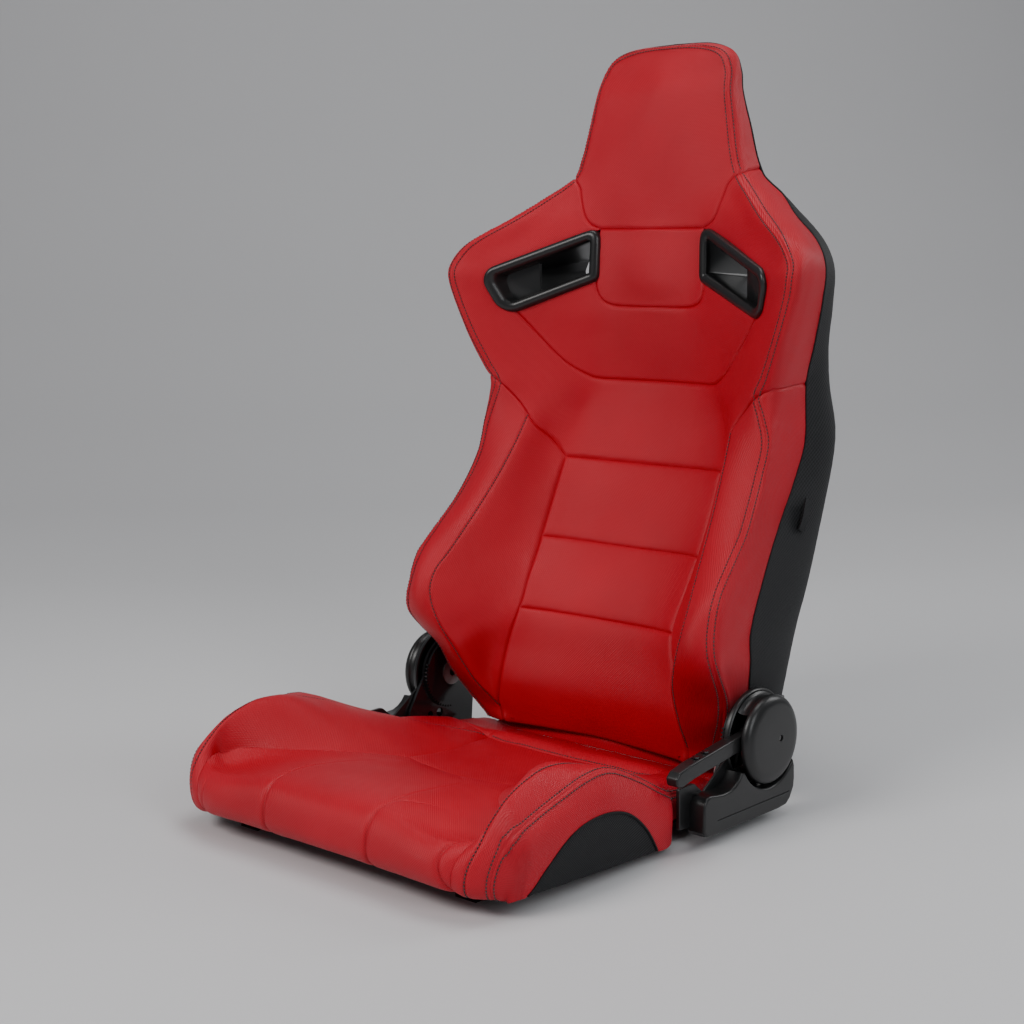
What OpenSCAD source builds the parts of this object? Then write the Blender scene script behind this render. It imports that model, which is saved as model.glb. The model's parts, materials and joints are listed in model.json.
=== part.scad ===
// Reclining racing seat. Millimetres. The seat faces -Y, +Z is up and +X is the lever side (the
// occupant's left). Names ending in left and right are as seen from in front, so right is +X.
// The origin is the centre of the four mounting holes under the base.

/* [Mounting] */
// Distance between the mounting holes across the seat
mount_x = 360; // [340:5:370]
// Distance between the mounting holes along the seat
mount_y = 300; // [260:10:320]
// Radius of the tapped mounting holes (M8 core)
mount_r = 3.4; // [3.3:0.1:3.6]

/* [Recliner] */
// Height of the recline axis above the mounting plane
axis_z = 103; // [100:1:106]
// Distance of the recline axis behind the origin
axis_y = 207; // [204:1:210]
// Radius of the release shaft
shaft_r = 6; // [5:0.5:7]
// Radial running clearance of the shaft and of the hinge bushes
run_gap = 0.05; // [0.02:0.01:0.09]
// Radius of the round recliner cap
cap_r = 54; // [50:1:56]
// Number of teeth that a full toothed disc would have
teeth = 60; // [48:4:72]

/* [Frame tubes] */
// Radius of the backrest uprights
upright_r = 11; // [9:0.5:12]
// Wall thickness of the frame tubes
tube_wall = 2; // [1.5:0.5:3]

/* [Upholstery] */
// Gap between neighbouring foam blocks
seam_gap = 0.5; // [0.3:0.1:1]
// Thickness of the stiff rear cover
cover_t = 5; // [4:0.5:6]

/* [Hidden] */
$fn = 64;
eps = 0.05;

// ---- rails of the backrest: smooth lines that run up the seat, as [z, x, y] ----

// Middle of the front surface
centre_line = [[45, 0, 232], [80, 0, 222], [110, 0, 217], [150, 0, 222], [208, 0, 238],
    [298, 0, 286], [401, 0, 336], [460, 0, 354], [505, 0, 358], [560, 0, 350], [604, 0, 340],
    [640, 0, 333], [705, 0, 338], [772, 0, 339], [836, 0, 341], [877, 0, 348], [900, 0, 357],
    [925, 0, 368], [938, 0, 376]];
// Foot of the bolster, where the middle pads end
pad_edge = [[45, 130, 218], [107, 146, 201], [149, 142, 204], [208, 127, 216], [298, 130, 266],
    [401, 129, 316], [460, 115, 338], [505, 93, 345], [560, 90, 342], [604, 80, 336],
    [665, 84, 335], [705, 80, 338], [772, 70, 341], [836, 55, 345], [877, 50, 352], [900, 48, 361],
    [925, 42, 370], [938, 22, 377]];
// Crest of the bolster and middle of the shoulder wing
crest = [[45, 152, 211], [68, 159, 208], [108, 172, 175], [160, 184, 145], [195, 197, 131],
    [232, 208, 129], [260, 209, 141], [284, 202, 162], [341, 189, 208], [395, 178, 247],
    [460, 168, 284], [505, 165, 298], [560, 166, 308], [600, 182, 300], [650, 190, 287],
    [691, 178, 303], [721, 150, 320], [745, 128, 334], [772, 110, 343], [836, 90, 349],
    [877, 86, 355], [900, 81, 364], [925, 66, 372], [938, 38, 378]];
// Double seam round the front
outer_seam = [[45, 190, 216], [110, 225, 188], [150, 238, 172], [193, 252, 137], [215, 252, 129],
    [242, 249, 133], [281, 246, 149], [312, 242, 179], [343, 238, 211], [375, 233, 235],
    [408, 230, 254], [448, 230, 268], [480, 220, 272], [502, 213, 272], [525, 226, 268],
    [570, 248, 258], [623, 269, 251], [646, 274, 249], [663, 272, 254], [691, 249, 267],
    [721, 202, 298], [745, 168, 322], [772, 134, 344], [797, 123, 349], [836, 114, 354],
    [877, 106, 359], [900, 102, 367], [925, 86, 374], [938, 52, 380]];
// Widest line of the side
side_line = [[45, 196, 226], [110, 230, 205], [150, 241, 188], [175, 247, 172], [200, 256, 155],
    [242, 258, 150], [281, 254, 166], [343, 244, 226], [408, 237, 270], [448, 236, 284],
    [505, 237, 290], [525, 245, 287], [570, 262, 281], [623, 281, 276], [650, 286, 277],
    [672, 282, 284], [691, 266, 294], [721, 216, 322], [745, 184, 342], [772, 142, 360],
    [797, 131, 366], [836, 122, 372], [877, 112, 376], [900, 109, 382], [925, 95, 388],
    [938, 60, 388]];
// Edge between the front upholstery and the rear cover
cover_edge = [[45, 200, 232], [95, 232, 240], [146, 242, 222], [190, 250, 214], [228, 250, 214],
    [290, 246, 247], [346, 238, 290], [394, 232, 330], [443, 233, 352], [516, 237, 347],
    [563, 255, 336], [618, 270, 330], [660, 268, 338], [691, 246, 350], [721, 207, 364],
    [745, 178, 380], [772, 138, 394], [836, 115, 397], [877, 104, 396], [900, 102, 396],
    [925, 89, 397], [938, 56, 396]];
// Rear corner of the cover
rear_corner = [[95, 205, 318], [121, 206, 332], [195, 215, 347], [268, 222, 370], [368, 220, 410],
    [445, 218, 430], [510, 212, 422], [562, 214, 410], [612, 218, 408], [660, 216, 410],
    [700, 190, 414], [745, 140, 414], [772, 108, 411], [836, 88, 408], [877, 79, 405],
    [900, 74, 404], [925, 62, 402], [938, 36, 400]];
// Middle of the rear cover
rear_line = [[95, 0, 318], [121, 0, 332], [195, 0, 352], [268, 0, 384], [368, 0, 428],
    [445, 0, 446], [510, 0, 440], [562, 0, 430], [612, 0, 426], [660, 0, 425], [700, 0, 424],
    [745, 0, 420], [772, 0, 416], [836, 0, 413], [877, 0, 410], [900, 0, 408], [925, 0, 405],
    [938, 0, 402]];
// Back of the foam, in front of the frame
foam_back = [[45, 0, 240], [95, 0, 247], [150, 0, 263], [208, 0, 280], [298, 0, 325],
    [401, 0, 376], [460, 0, 387], [505, 0, 389], [560, 0, 384], [604, 0, 379], [660, 0, 375],
    [705, 0, 376], [772, 0, 378], [836, 0, 379], [900, 0, 384], [925, 0, 389], [938, 0, 393]];

// Heights at which the backrest is cut into sections
back_z = [48, 70, 95, 120, 146, 170, 195, 218, 242, 270, 300, 340, 380, 420, 460, 490, 515, 540,
    570, 600, 628, 650, 668, 685, 700, 716, 732, 750, 772, 800, 836, 870, 892, 908, 922, 932, 938];
cover_z = [for (z = back_z) if (z >= 95 && z < 930) z];

// Index of the interval of rail r that holds height z
function span_of(r, z, i = 0) = (i >= len(r) - 2 || z < r[i + 1][0]) ? i : span_of(r, z, i + 1);
// Slope of rail r at its point i
function slope(r, i) =
    let (a = r[max(i - 1, 0)], b = r[min(i + 1, len(r) - 1)])
    [b[1] - a[1], b[2] - a[2]] / (b[0] - a[0]);
// Smooth position [x, y] on rail r at height z
function on(r, z) =
    let (i = span_of(r, z), a = r[i], b = r[i + 1], h = b[0] - a[0],
         t = min(max((z - a[0]) / h, 0), 1))
    [a[1], a[2]] * (1 + 2 * t) * (1 - t) * (1 - t) + slope(r, i) * h * t * (1 - t) * (1 - t)
    + [b[1], b[2]] * t * t * (3 - 2 * t) + slope(r, i + 1) * h * t * t * (t - 1);

// Catmull-Rom curve through 2-D points p, with n steps in each interval
function smooth(p, n) = [
    for (i = [0 : len(p) - 2])
        let (a = p[max(i - 1, 0)], b = p[i], c = p[i + 1], d = p[min(i + 2, len(p) - 1)])
        for (k = [0 : n - 1])
            let (t = k / n)
            0.5 * (2 * b + (c - a) * t + (2 * a - 5 * b + 4 * c - d) * t * t
            + (3 * b - a - 3 * c + d) * t * t * t),
    p[len(p) - 1]];
function mirrored(p) = [for (i = [len(p) - 1 : -1 : 0]) [-p[i][0], p[i][1]]];
function drop_first(p) = [for (i = [1 : len(p) - 1]) p[i]];

// Front surface of the backrest at height z, from the middle to the cover's edge
function front_curve(z) = smooth([on(centre_line, z), on(pad_edge, z), on(crest, z),
    on(outer_seam, z), on(side_line, z), on(cover_edge, z)], 3);
// Inner corner of the foam behind the bolster
function foam_corner(z) =
    let (b = on(cover_edge, z), r = on(rear_corner, max(z, 95)), y = on(foam_back, z)[1],
         s = min(max((y - b[1]) / max(r[1] - b[1], 1), 0), 1))
    [b[0] + (r[0] - b[0]) * s - 1.5 * cover_t - 2, y];
// Closed outline of the front foam at height z
function foam_outline(z) =
    let (b = on(cover_edge, z), f = front_curve(z), c = foam_corner(z),
         back = [[max(b[0] - cover_t - 1, c[0]), b[1]], c],
         right = concat(f, back))
    concat(right, mirrored(drop_first(right)));
// Closed outline of the rear cover at height z
function cover_outline(z) =
    let (b = on(cover_edge, z) + [0, 0.4], r = on(rear_corner, z), m = on(rear_line, z),
         t = min(cover_t, 0.4 * (m[1] - b[1])),
         outside = smooth([b, r, m], 3),
         inside = [[0, m[1] - t], r - [t * 0.9, t], b - [t, 0]],
         half_out = [for (i = [0 : len(outside) - 2]) outside[i]])
    concat(half_out, [m], mirrored(half_out), mirrored([inside[2]]), mirrored([inside[1]]),
        inside);

// Closed solid through outlines at the given heights, all with the same number of points
module loft_z(outlines, heights) {
    n = len(outlines[0]);
    m = len(heights);
    points = [for (i = [0 : m - 1]) for (p = outlines[i]) [p[0], p[1], heights[i]]];
    sides = [for (i = [0 : m - 2]) for (k = [0 : n - 1])
        [i * n + k, (i + 1) * n + k, (i + 1) * n + (k + 1) % n, i * n + (k + 1) % n]];
    polyhedron(points, concat(sides, [[for (k = [0 : n - 1]) k]],
        [[for (k = [n - 1 : -1 : 0]) (m - 1) * n + k]]), convexity = 8);
}

module back_foam() loft_z([for (z = back_z) foam_outline(z)], back_z);

// Everything in front of and behind an outline drawn on the XZ plane
module seen_from_front(outline)
    translate([0, 600, 0]) rotate([90, 0, 0]) linear_extrude(600) offset(delta = -seam_gap / 2)
        polygon(outline);

module both_sides() {
    children();
    mirror([1, 0, 0]) children();
}

// ---- seams of the backrest, as [x, z] seen from the front ----

neck_seam = [[84, 705], [103, 716], [114, 740], [121, 760], [136, 772]];
lens_seam = [[67, 604], [84, 614], [89, 630], [87, 645]];
yoke_seam = [[93, 505], [106, 509], [133, 528], [164, 560], [190, 590], [199, 600]];
bolster_seam = [[130, 401], [169, 460], [211, 501], [240, 512]];
pad_side = [[158, 30], [158, 68], [150, 107], [142, 149], [127, 208], [130, 298], [130, 401]];
function both(p) = concat(p, mirrored(p));

module foam_block(outline) intersection() {
    back_foam();
    seen_from_front(outline);
}

module headrest_pad() color("firebrick")
    foam_block(both(concat(neck_seam, [[200, 800], [200, 960]])));
module neck_pad() color("firebrick") foam_block(both(concat(lens_seam, [[84, 705]])));
module upper_back_pad() color("firebrick") difference() {
    foam_block(both(concat(yoke_seam, [for (i = [3 : -1 : 0]) lens_seam[i]])));
    both_sides() guide_hole();
}
module middle_back_pad() color("firebrick") foam_block(both([[130, 401], [93, 505]]));
module lumbar_pad(low, high) color("firebrick")
    foam_block(both(concat([[on_side(low), low]],
        [for (p = pad_side) if (p[1] > low && p[1] < high) p], [[on_side(high), high]])));
function on_side(z) = lookup(z, [for (p = pad_side) [p[1], p[0]]]);

module shoulder_wing() color("firebrick") difference() {
    foam_block(concat(neck_seam, [[320, 800], [320, 512]],
        [for (i = [3 : -1 : 0]) bolster_seam[i]], yoke_seam, [lens_seam[3]]));
    guide_hole();
}
module back_bolster() color("firebrick") foam_block(concat(pad_side,
    [for (i = [1 : 3]) bolster_seam[i]], [[320, 512], [320, 30]]));

module rear_cover() color("dimgray") difference() {
    loft_z([for (z = cover_z) cover_outline(z)], cover_z);
    both_sides() guide_hole();
    both_sides() translate([200, axis_y + 45, 60]) cube([80, 60, 95]);
}

// Small sewn tab in the side seam
module side_tab() color("black") translate([244, 318, 338]) rotate([-24, 0, 0])
    cube([2, 12, 40]);

// ---- harness guides ----

// Front and rear edges of a guide, as [x, z]
guide_front = [[86, 705], [87, 641], [199, 598], [214, 606], [227, 636], [222, 652]];
guide_rear = [[92, 694], [92, 640], [150, 618], [166, 628], [172, 650], [164, 668]];
// Slant of the shoulder wing in plan, and where its plane meets X = 0
wing_slope = -0.47;
wing_y0 = 376;
guide_end = 425;
// Point p of an outline, laid on the wing's plane and moved forward
function on_wing(p, forward) = [p[0], wing_y0 + wing_slope * p[0] - forward, p[1]];
function centre_of(p) = [for (k = [0, 1]) [for (q = p) q[k]] * [for (q = p) 1] / len(p)];
// Outline p with every corner moved towards its middle by d
function shrink(p, d) = [for (q = p) let (v = q - centre_of(p)) q - v * d / norm(v)];

// Solid between two 3-D outlines with six corners each
module guide_solid(a, b) hull() polyhedron(concat(a, b), [[5, 4, 3, 2, 1, 0],
    [6, 7, 8, 9, 10, 11], for (k = [0 : 5]) [k, (k + 1) % 6, 6 + (k + 1) % 6, 6 + k]]);
module guide_rim(grow, forward) guide_solid(
    [for (p = shrink(guide_front, -grow)) on_wing(p, forward)],
    [for (p = shrink(guide_front, 3 - grow)) on_wing(p, -12 - grow)]);
module guide_funnel(inset, forward) guide_solid(
    [for (p = shrink(guide_front, inset + 6)) on_wing(p, forward)],
    [for (p = shrink(guide_rear, inset)) [p[0], 470, p[1]]]);
// Hole through the upholstery for a guide
module guide_hole() {
    rim = [for (p = shrink(guide_front, -0.8)) on_wing(p, 5)];
    guide_rim(0.8, 5);
    guide_solid([for (p = shrink(guide_front, -0.8)) on_wing(p, 60)], rim);
    guide_funnel(-0.8, 5);
}
module harness_guide() color("dimgray") difference() {
    union() {
        guide_rim(0, 5);
        guide_funnel(0, 4);
    }
    guide_funnel(4, 60);
    translate([0, guide_end, 500]) cube(300);
}

// ---- frame of the backrest ----

// Bends of an upright, as [x, y, z]
upright_path = [[205, 270, 112], [203, 335, 250], [196, 400, 400], [172, 403, 500], [150, 398, 571]];
// Shoulder tube, and the headrest hoop that stands on it
shoulder_y = 394;
shoulder_z = 568;
shoulder_r = 9;
hoop_x = 60;
hoop_y = 392;
hoop_top = 882;
hoop_bend = 32;
hoop_r = 7.5;
// Flat strap that carries the foam of a shoulder wing, as [x, z]
strap_line = [[144, 575], [156, 575], [196, 582], [208, 604], [208, 660], [196, 684], [166, 716],
    [128, 740], [69, 748], [69, 740], [125, 732], [160, 710], [188, 680], [200, 658], [200, 608],
    [190, 589], [144, 583]];

// Round bar of radius r from point a to point b
module bar(a, b, r) {
    v = b - a;
    translate(a) rotate([0, acos(v[2] / norm(v)), atan2(v[1], v[0])]) cylinder(r = r, h = norm(v));
}
module bent_bar(path, r) {
    for (i = [0 : len(path) - 2]) bar(path[i], path[i + 1], r);
    for (i = [1 : len(path) - 2]) translate(path[i]) sphere(r = r + 0.3);
}
module upright_bar(grow = 0) bent_bar(upright_path, upright_r + grow);
module upright() color("dimgray") difference() {
    upright_bar();
    bar(upright_path[0] - [0, 1, 2], upright_path[1], upright_r - tube_wall);
}
module cross_bar(y, z, r, half) difference() {
    translate([-half, y, z]) rotate([0, 90, 0]) cylinder(r = r, h = 2 * half);
    translate([-half - 1, y, z]) rotate([0, 90, 0]) cylinder(r = r - tube_wall, h = 2 * half + 2);
    both_sides() upright_bar(eps);
}
module lower_back_tube() color("dimgray") cross_bar(316, 210, 10, 203);
module shoulder_tube() color("dimgray") cross_bar(shoulder_y, shoulder_z, shoulder_r, 138);
module headrest_hoop() color("dimgray") {
    both_sides() {
        translate([hoop_x, hoop_y, shoulder_z + shoulder_r])
            cylinder(r = hoop_r, h = hoop_top - hoop_bend - shoulder_z - shoulder_r);
        translate([hoop_x - hoop_bend, hoop_y, hoop_top - hoop_bend]) rotate([90, 0, 0])
            rotate_extrude(angle = 90) translate([hoop_bend, 0]) circle(r = hoop_r);
    }
    translate([hoop_bend - hoop_x, hoop_y, hoop_top]) rotate([0, 90, 0])
        cylinder(r = hoop_r, h = 2 * (hoop_x - hoop_bend));
}
module wing_strap() color("dimgray") translate([0, 396, 0]) rotate([90, 0, 0])
    linear_extrude(4) polygon(strap_line);
// Straight wires across the back between the uprights
function upright_at(z, k) = lookup(z, [for (p = upright_path) [p[2], p[k]]]);
module lumbar_wires() color("gainsboro") for (z = [250 : 50 : 500])
    let (half = upright_at(z, 0) - upright_r - 1)
        translate([-half, upright_at(z, 1), z]) rotate([0, 90, 0]) cylinder(r = 2, h = 2 * half);

// ---- hinges and recliner, drawn on the YZ plane and laid out along X ----

plate_t = 4;
upper_x = 246;
lower_x = 251;
bush_r = 14;
tooth_root = 47;
tooth_tip = 50;
boss_at = [270, 118];
pawl_at = [168, 48];
stud_at = [186.5, 46.6];
lever_x = 264;
lever_t = 12;
grip_x = 260;

// Extrudes a YZ outline from x over a thickness
module across(x, t) translate([x, 0, 0]) rotate([90, 0, 90]) linear_extrude(t) children();
module at_axis(x) translate([x, axis_y, axis_z]) rotate([0, 90, 0]) children();
function ring_point(r, a) = [axis_y + r * cos(a), axis_z + r * sin(a)];

// Toothed sector between two angles
module sector(from, to) polygon(concat([[axis_y, axis_z]],
    [for (a = [from : 360 / teeth : to]) for (k = [[0, tooth_root], [0.15, tooth_tip],
        [0.5, tooth_tip], [0.65, tooth_root]]) ring_point(k[1], a + k[0] * 360 / teeth)]));
module upper_hinge_plate() color("black") difference() {
    union() {
        across(upper_x, plate_t) {
            translate([axis_y, axis_z]) circle(r = tooth_root);
            sector(158, 266);
            polygon([[axis_y, 64], [284, 100], [290, 118], [284, 136], [axis_y, 149]]);
        }
        translate([214, boss_at[0], boss_at[1]]) rotate([0, 90, 0]) cylinder(r = 13, h = 32.5);
    }
    at_axis(upper_x - 1) cylinder(r = bush_r + run_gap, h = plate_t + 2);
    upright_bar(eps);
}
module lower_hinge_plate() color("black") difference() {
    across(lower_x, plate_t) difference() {
        union() {
            translate([axis_y, axis_z]) circle(r = 50);
            polygon([[axis_y - 50, axis_z], [axis_y + 50, axis_z], [248, 3], [120, 3], [130, 60]]);
        }
        translate([axis_y, axis_z]) circle(r = bush_r + 0.02);
        translate(stud_at + [0, 1.6]) circle(r = 6);
        translate(pawl_at) circle(r = 5.02);
    }
}
module hinge_bush() color("silver") at_axis(244.4) difference() {
    union() {
        cylinder(r = bush_r, h = 13.6);
        cylinder(r = 18, h = 1.2);
    }
    translate([0, 0, -1]) cylinder(r = shaft_r + run_gap, h = 20);
}
module pawl_pin() color("silver") translate([245.4, pawl_at[0], pawl_at[1]]) rotate([0, 90, 0])
    cylinder(r = 5, h = 11.6);
module locking_pawl() color("silver") difference() {
    union() {
        across(upper_x + 0.2, plate_t - 0.4) difference() {
            union() {
                translate(pawl_at) circle(r = 10);
                translate(stud_at) circle(r = 5.5);
                polygon([[160, 42], [168, 38], [186.5, 41.1], [186.5, 52.1], [176, 58], [174, 70],
                    [162, 92], [146, 84], [143, 64]]);
            }
            translate([axis_y, axis_z]) circle(r = tooth_tip + 0.4);
        }
        translate([upper_x + 1, stud_at[0], stud_at[1]]) rotate([0, 90, 0]) cylinder(r = 3, h = 15);
    }
    translate([upper_x - 1, pawl_at[0], pawl_at[1]]) rotate([0, 90, 0])
        cylinder(r = 5 + run_gap, h = plate_t + 2);
}
module release_shaft() color("silver") at_axis(245.3) cylinder(r = shaft_r, h = 37.7);
// Radius of the cam's slot at angle a: lifting the lever draws the pawl's stud inwards
function slot_radius(a) = 60 - (a - 250) * 3 / 19;
module release_cam() color("silver") difference() {
    across(258.5, 3.5) {
        translate([axis_y, axis_z]) circle(r = 15);
        polygon(concat([[axis_y - 15, axis_z]], [for (a = [242 : 6 : 278]) ring_point(67, a)],
            [[axis_y + 15, axis_z]]));
    }
    at_axis(250) cylinder(r = shaft_r + 0.02, h = 20);
    across(257, 6) polygon(concat([for (a = [246 : 4.5 : 273]) ring_point(slot_radius(a) + 3.4, a)],
        [for (a = [273 : -4.5 : 246]) ring_point(slot_radius(a) - 3.4, a)]));
}
// Side view of the lever, from its hub to its tip
lever_outline = [[182, 120], [158, 117.5], [60, 104], [40, 99], [33, 92], [35, 83], [44, 81],
    [66, 86], [150, 97], [182, 92]];
// The grip is wider than the arm
grip_outline = [[144, 115.5], [60, 104], [40, 99], [33, 92], [35, 83], [44, 81], [66, 86],
    [144, 96.2]];
module release_lever() color("dimgray") difference() {
    union() {
        across(lever_x, lever_t) {
            translate([axis_y, axis_z]) circle(r = 28);
            polygon(lever_outline);
        }
        across(grip_x, 10) polygon(grip_outline);
    }
    at_axis(250) cylinder(r = shaft_r + 0.02, h = 40);
    for (p = lever_screw_at) translate(p) cylinder(r = 2.52, h = 30, center = true);
}
lever_screw_at = [[269, 78, 100.4], [269, 96, 102.9]];
module lever_screws() color("silver") for (p = lever_screw_at) translate(p) {
    translate([0, 0, -10]) cylinder(r = 2.5, h = 17);
    translate([0, 0, 6.6]) cylinder(r = 4, h = 2);
}
// Flat spiral strip between two radii, with its inner end on the axis side
module spiral(r0, r1, turns, strip) {
    steps = 24 * turns;
    line = [for (i = [0 : steps]) let (r = r0 + (r1 - r0) * i / steps, a = 360 * turns * i / steps)
        [r * cos(a), r * sin(a)]];
    inner = [for (i = [steps : -1 : 0])
        let (r = r0 - strip + (r1 - r0) * i / steps, a = 360 * turns * i / steps)
        [r * cos(a), r * sin(a)]];
    polygon(concat(line, inner));
}
module return_spring() color("black") translate([-266, axis_y, axis_z]) rotate([90, 0, 90])
    linear_extrude(7) spiral(18, 42, 5, 1.6);
module lever_spring() color("silver") translate([278, axis_y, axis_z]) rotate([90, 0, 90])
    linear_extrude(3) spiral(8, 19, 4, 1.2);

// ---- recliner covers ----

cap_face = 290;
cap_screw_at = [219, 103];
boot_outline = [[56, 24], [56, 72], [82, 72], [98, 58], [146, 54], [252, 54], [258, 46], [258, 34],
    [243, 14], [93, 13]];
module recliner_cap() color("dimgray") difference() {
    at_axis(0) rotate_extrude() polygon([[0, cap_face], [45, cap_face], [cap_r - 3, cap_face - 2.5],
        [cap_r, cap_face - 7], [cap_r, 277], [50, 277], [50, 266.5], [47.5, 266.5], [47.5, 280],
        [44, cap_face - 3], [0, cap_face - 3]]);
    translate([cap_face - 5, cap_screw_at[0], cap_screw_at[1]]) rotate([0, 90, 0])
        cylinder(r = 3.5 + eps, h = 10);
}
module slotted_cap() difference() {
    recliner_cap();
    across(260, 16.9) polygon([[axis_y, axis_z], ring_point(90, 136), ring_point(90, 212)]);
}
module recliner_cover() color("dimgray") difference() {
    recliner_boot();
    across(256, 8) cam_window();
}
module recliner_boot() {
    difference() {
        across(257, 27) polygon(boot_outline);
        translate([257, 0, 0]) across(-1, 25)
            polygon([for (p = shrink(boot_outline, 3.4)) [p[0], p[1]]]);
        at_axis(250) cylinder(r = 58.2, h = 60);
    }
    difference() {
        at_axis(257) cylinder(r = 58.6, h = 6);
        at_axis(256) cylinder(r = 55, h = 10);
    }
    across(257, 3) difference() {
        union() {
            polygon([[156, 60], [250, 60], [250, 20], [156, 20]]);
            polygon([[100, 50], [104, 58], [150, 88], [170, 70], [170, 50]]);
        }
        translate([axis_y, axis_z]) circle(r = 57.5);
    }
}
// Room for the cam and for the pawl's stud inside the cover
module cam_window() polygon(concat([[axis_y, axis_z]], [for (a = [216 : 8 : 288]) ring_point(69, a)]));
module cap_screws() color("silver") both_sides()
    translate([0, cap_screw_at[0], cap_screw_at[1]]) rotate([0, 90, 0]) {
        translate([0, 0, 281.6]) cylinder(r = 2, h = 5);
        translate([0, 0, 286]) cylinder(r = 3.5, h = 2.8);
    }

// ---- seat base: rails run along Y, as [y, x, z] ----

seat_middle = [[-268, 0, 60], [-262, 0, 76], [-250, 0, 86], [-232, 0, 92], [-205, 0, 93],
    [-160, 0, 88], [-100, 0, 78], [-60, 0, 69], [-32, 0, 60], [0, 0, 54], [60, 0, 47],
    [120, 0, 40], [165, 0, 36], [182, 0, 40], [207, 0, 36.5], [238, 0, 33]];
roll_edge = [[-268, 85, 60], [-262, 85, 76], [-250, 85, 86], [-232, 85, 92], [-205, 84, 94],
    [-160, 80, 90], [-100, 70, 80], [-60, 55, 71], [-32, 45, 62], [0, 45, 56], [60, 50, 49],
    [120, 60, 42], [165, 70, 37], [182, 70, 41], [207, 70, 36.5], [238, 70, 33]];
bolster_foot = [[-268, 190, 56], [-250, 222, 78], [-212, 226, 88], [-193, 214, 90],
    [-150, 172, 87], [-115, 140, 84], [-70, 110, 76], [-32, 90, 67], [0, 92, 62], [60, 98, 55],
    [110, 118, 48], [165, 138, 40], [182, 139, 41.5], [207, 140, 36.5], [238, 140, 33]];
bolster_crest = [[-268, 215, 54], [-248, 228, 81], [-227, 231, 102], [-199, 234, 119],
    [-161, 233, 134], [-133, 230, 138], [-102, 228, 136], [-45, 220, 121], [0, 208, 101],
    [60, 188, 78], [110, 168, 60], [165, 150, 44], [182, 150, 41.5], [207, 150, 36.5],
    [238, 150, 33]];
base_seam = [[-268, 240, 50], [-258, 254, 68], [-229, 258, 90], [-190, 258, 102], [-151, 258, 113],
    [-102, 257, 124], [-64, 257, 124], [-16, 257, 103], [30, 256, 77], [52, 252, 66],
    [66, 240, 60], [110, 238, 54], [165, 236, 43], [182, 235, 40], [207, 233, 35.5], [238, 230, 32]];
base_side = [[-268, 244, 48], [-258, 260, 60], [-229, 264, 82], [-151, 265, 104], [-102, 264, 114],
    [-64, 264, 114], [-16, 264, 92], [30, 262, 66], [48, 258, 56], [66, 243, 52], [110, 243, 46],
    [165, 242, 37], [207, 238, 33], [238, 234, 30]];
base_bottom = [[-268, 236, 46], [-258, 256, 36], [-240, 262, 29], [-200, 262, 28], [30, 260, 28],
    [48, 257, 28], [66, 242, 28], [238, 232, 28]];
seat_y = [-268, -265, -261, -254, -245, -232, -212, -190, -161, -133, -102, -75, -45, -16, 20, 48,
    66, 95, 130, 165, 182, 207, 224, 238];

function seat_outline(y) =
    let (top = smooth([on(seat_middle, y), on(roll_edge, y), on(bolster_foot, y),
             on(bolster_crest, y), on(base_seam, y), on(base_side, y)], 3),
         b = on(base_bottom, y), right = concat(top, [b, [0, b[1]]]))
    concat(right, mirrored(drop_first([for (i = [0 : len(right) - 2]) right[i]])));
module loft_y(outlines, places) {
    n = len(outlines[0]);
    m = len(places);
    points = [for (i = [0 : m - 1]) for (p = outlines[i]) [p[0], places[i], p[1]]];
    sides = [for (i = [0 : m - 2]) for (k = [0 : n - 1])
        [i * n + k, (i + 1) * n + k, (i + 1) * n + (k + 1) % n, i * n + (k + 1) % n]];
    polyhedron(points, concat(sides, [[for (k = [0 : n - 1]) k]],
        [[for (k = [n - 1 : -1 : 0]) (m - 1) * n + k]]), convexity = 8);
}
module base_foam() loft_y([for (y = seat_y) seat_outline(y)], seat_y);

// Outlines of the base's panels, seen from above
foot_line = [[90, -32], [110, -70], [140, -115], [172, -150], [214, -193], [226, -212]];
insert_edge = [[138, 165], [118, 110], [98, 60], [92, 0], [90, -32]];
module seen_from_above(outline)
    linear_extrude(200) offset(delta = -seam_gap / 2) polygon(outline);
module base_block(outline) intersection() {
    base_foam();
    seen_from_above(outline);
}
module front_roll() color("firebrick") base_block(both(concat(foot_line, [[222, -300]])));
module seat_insert_pad() color("firebrick") base_block(both(insert_edge));
module seat_rear_strip() color("firebrick") base_block(both([[300, 165], [300, 300]]));
arch_outline = [[-204, 20], [-176, 43], [-150, 69], [-122, 79], [-85, 82], [-58, 77], [-34, 66],
    [-10, 45], [17, 10]];
// Lower edge of the side, which rises towards the front
skirt_outline = [[-246, 38], [-246, 25], [-204, 19.8], [17, 9.8], [46, 10], [46, 38]];
module thigh_bolster() color("firebrick") difference() {
    union() {
        base_block(concat([[300, 165]], insert_edge, [for (i = [1 : 5]) foot_line[i]],
            [[222, -300], [300, -300]]));
        across(236, 26) polygon(skirt_outline);
    }
    across(258.5, 12) offset(delta = 0.4) polygon(arch_outline);
}
module side_arch() color("black") across(259, 4.5) polygon(arch_outline);

// ---- base frame ----

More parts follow.
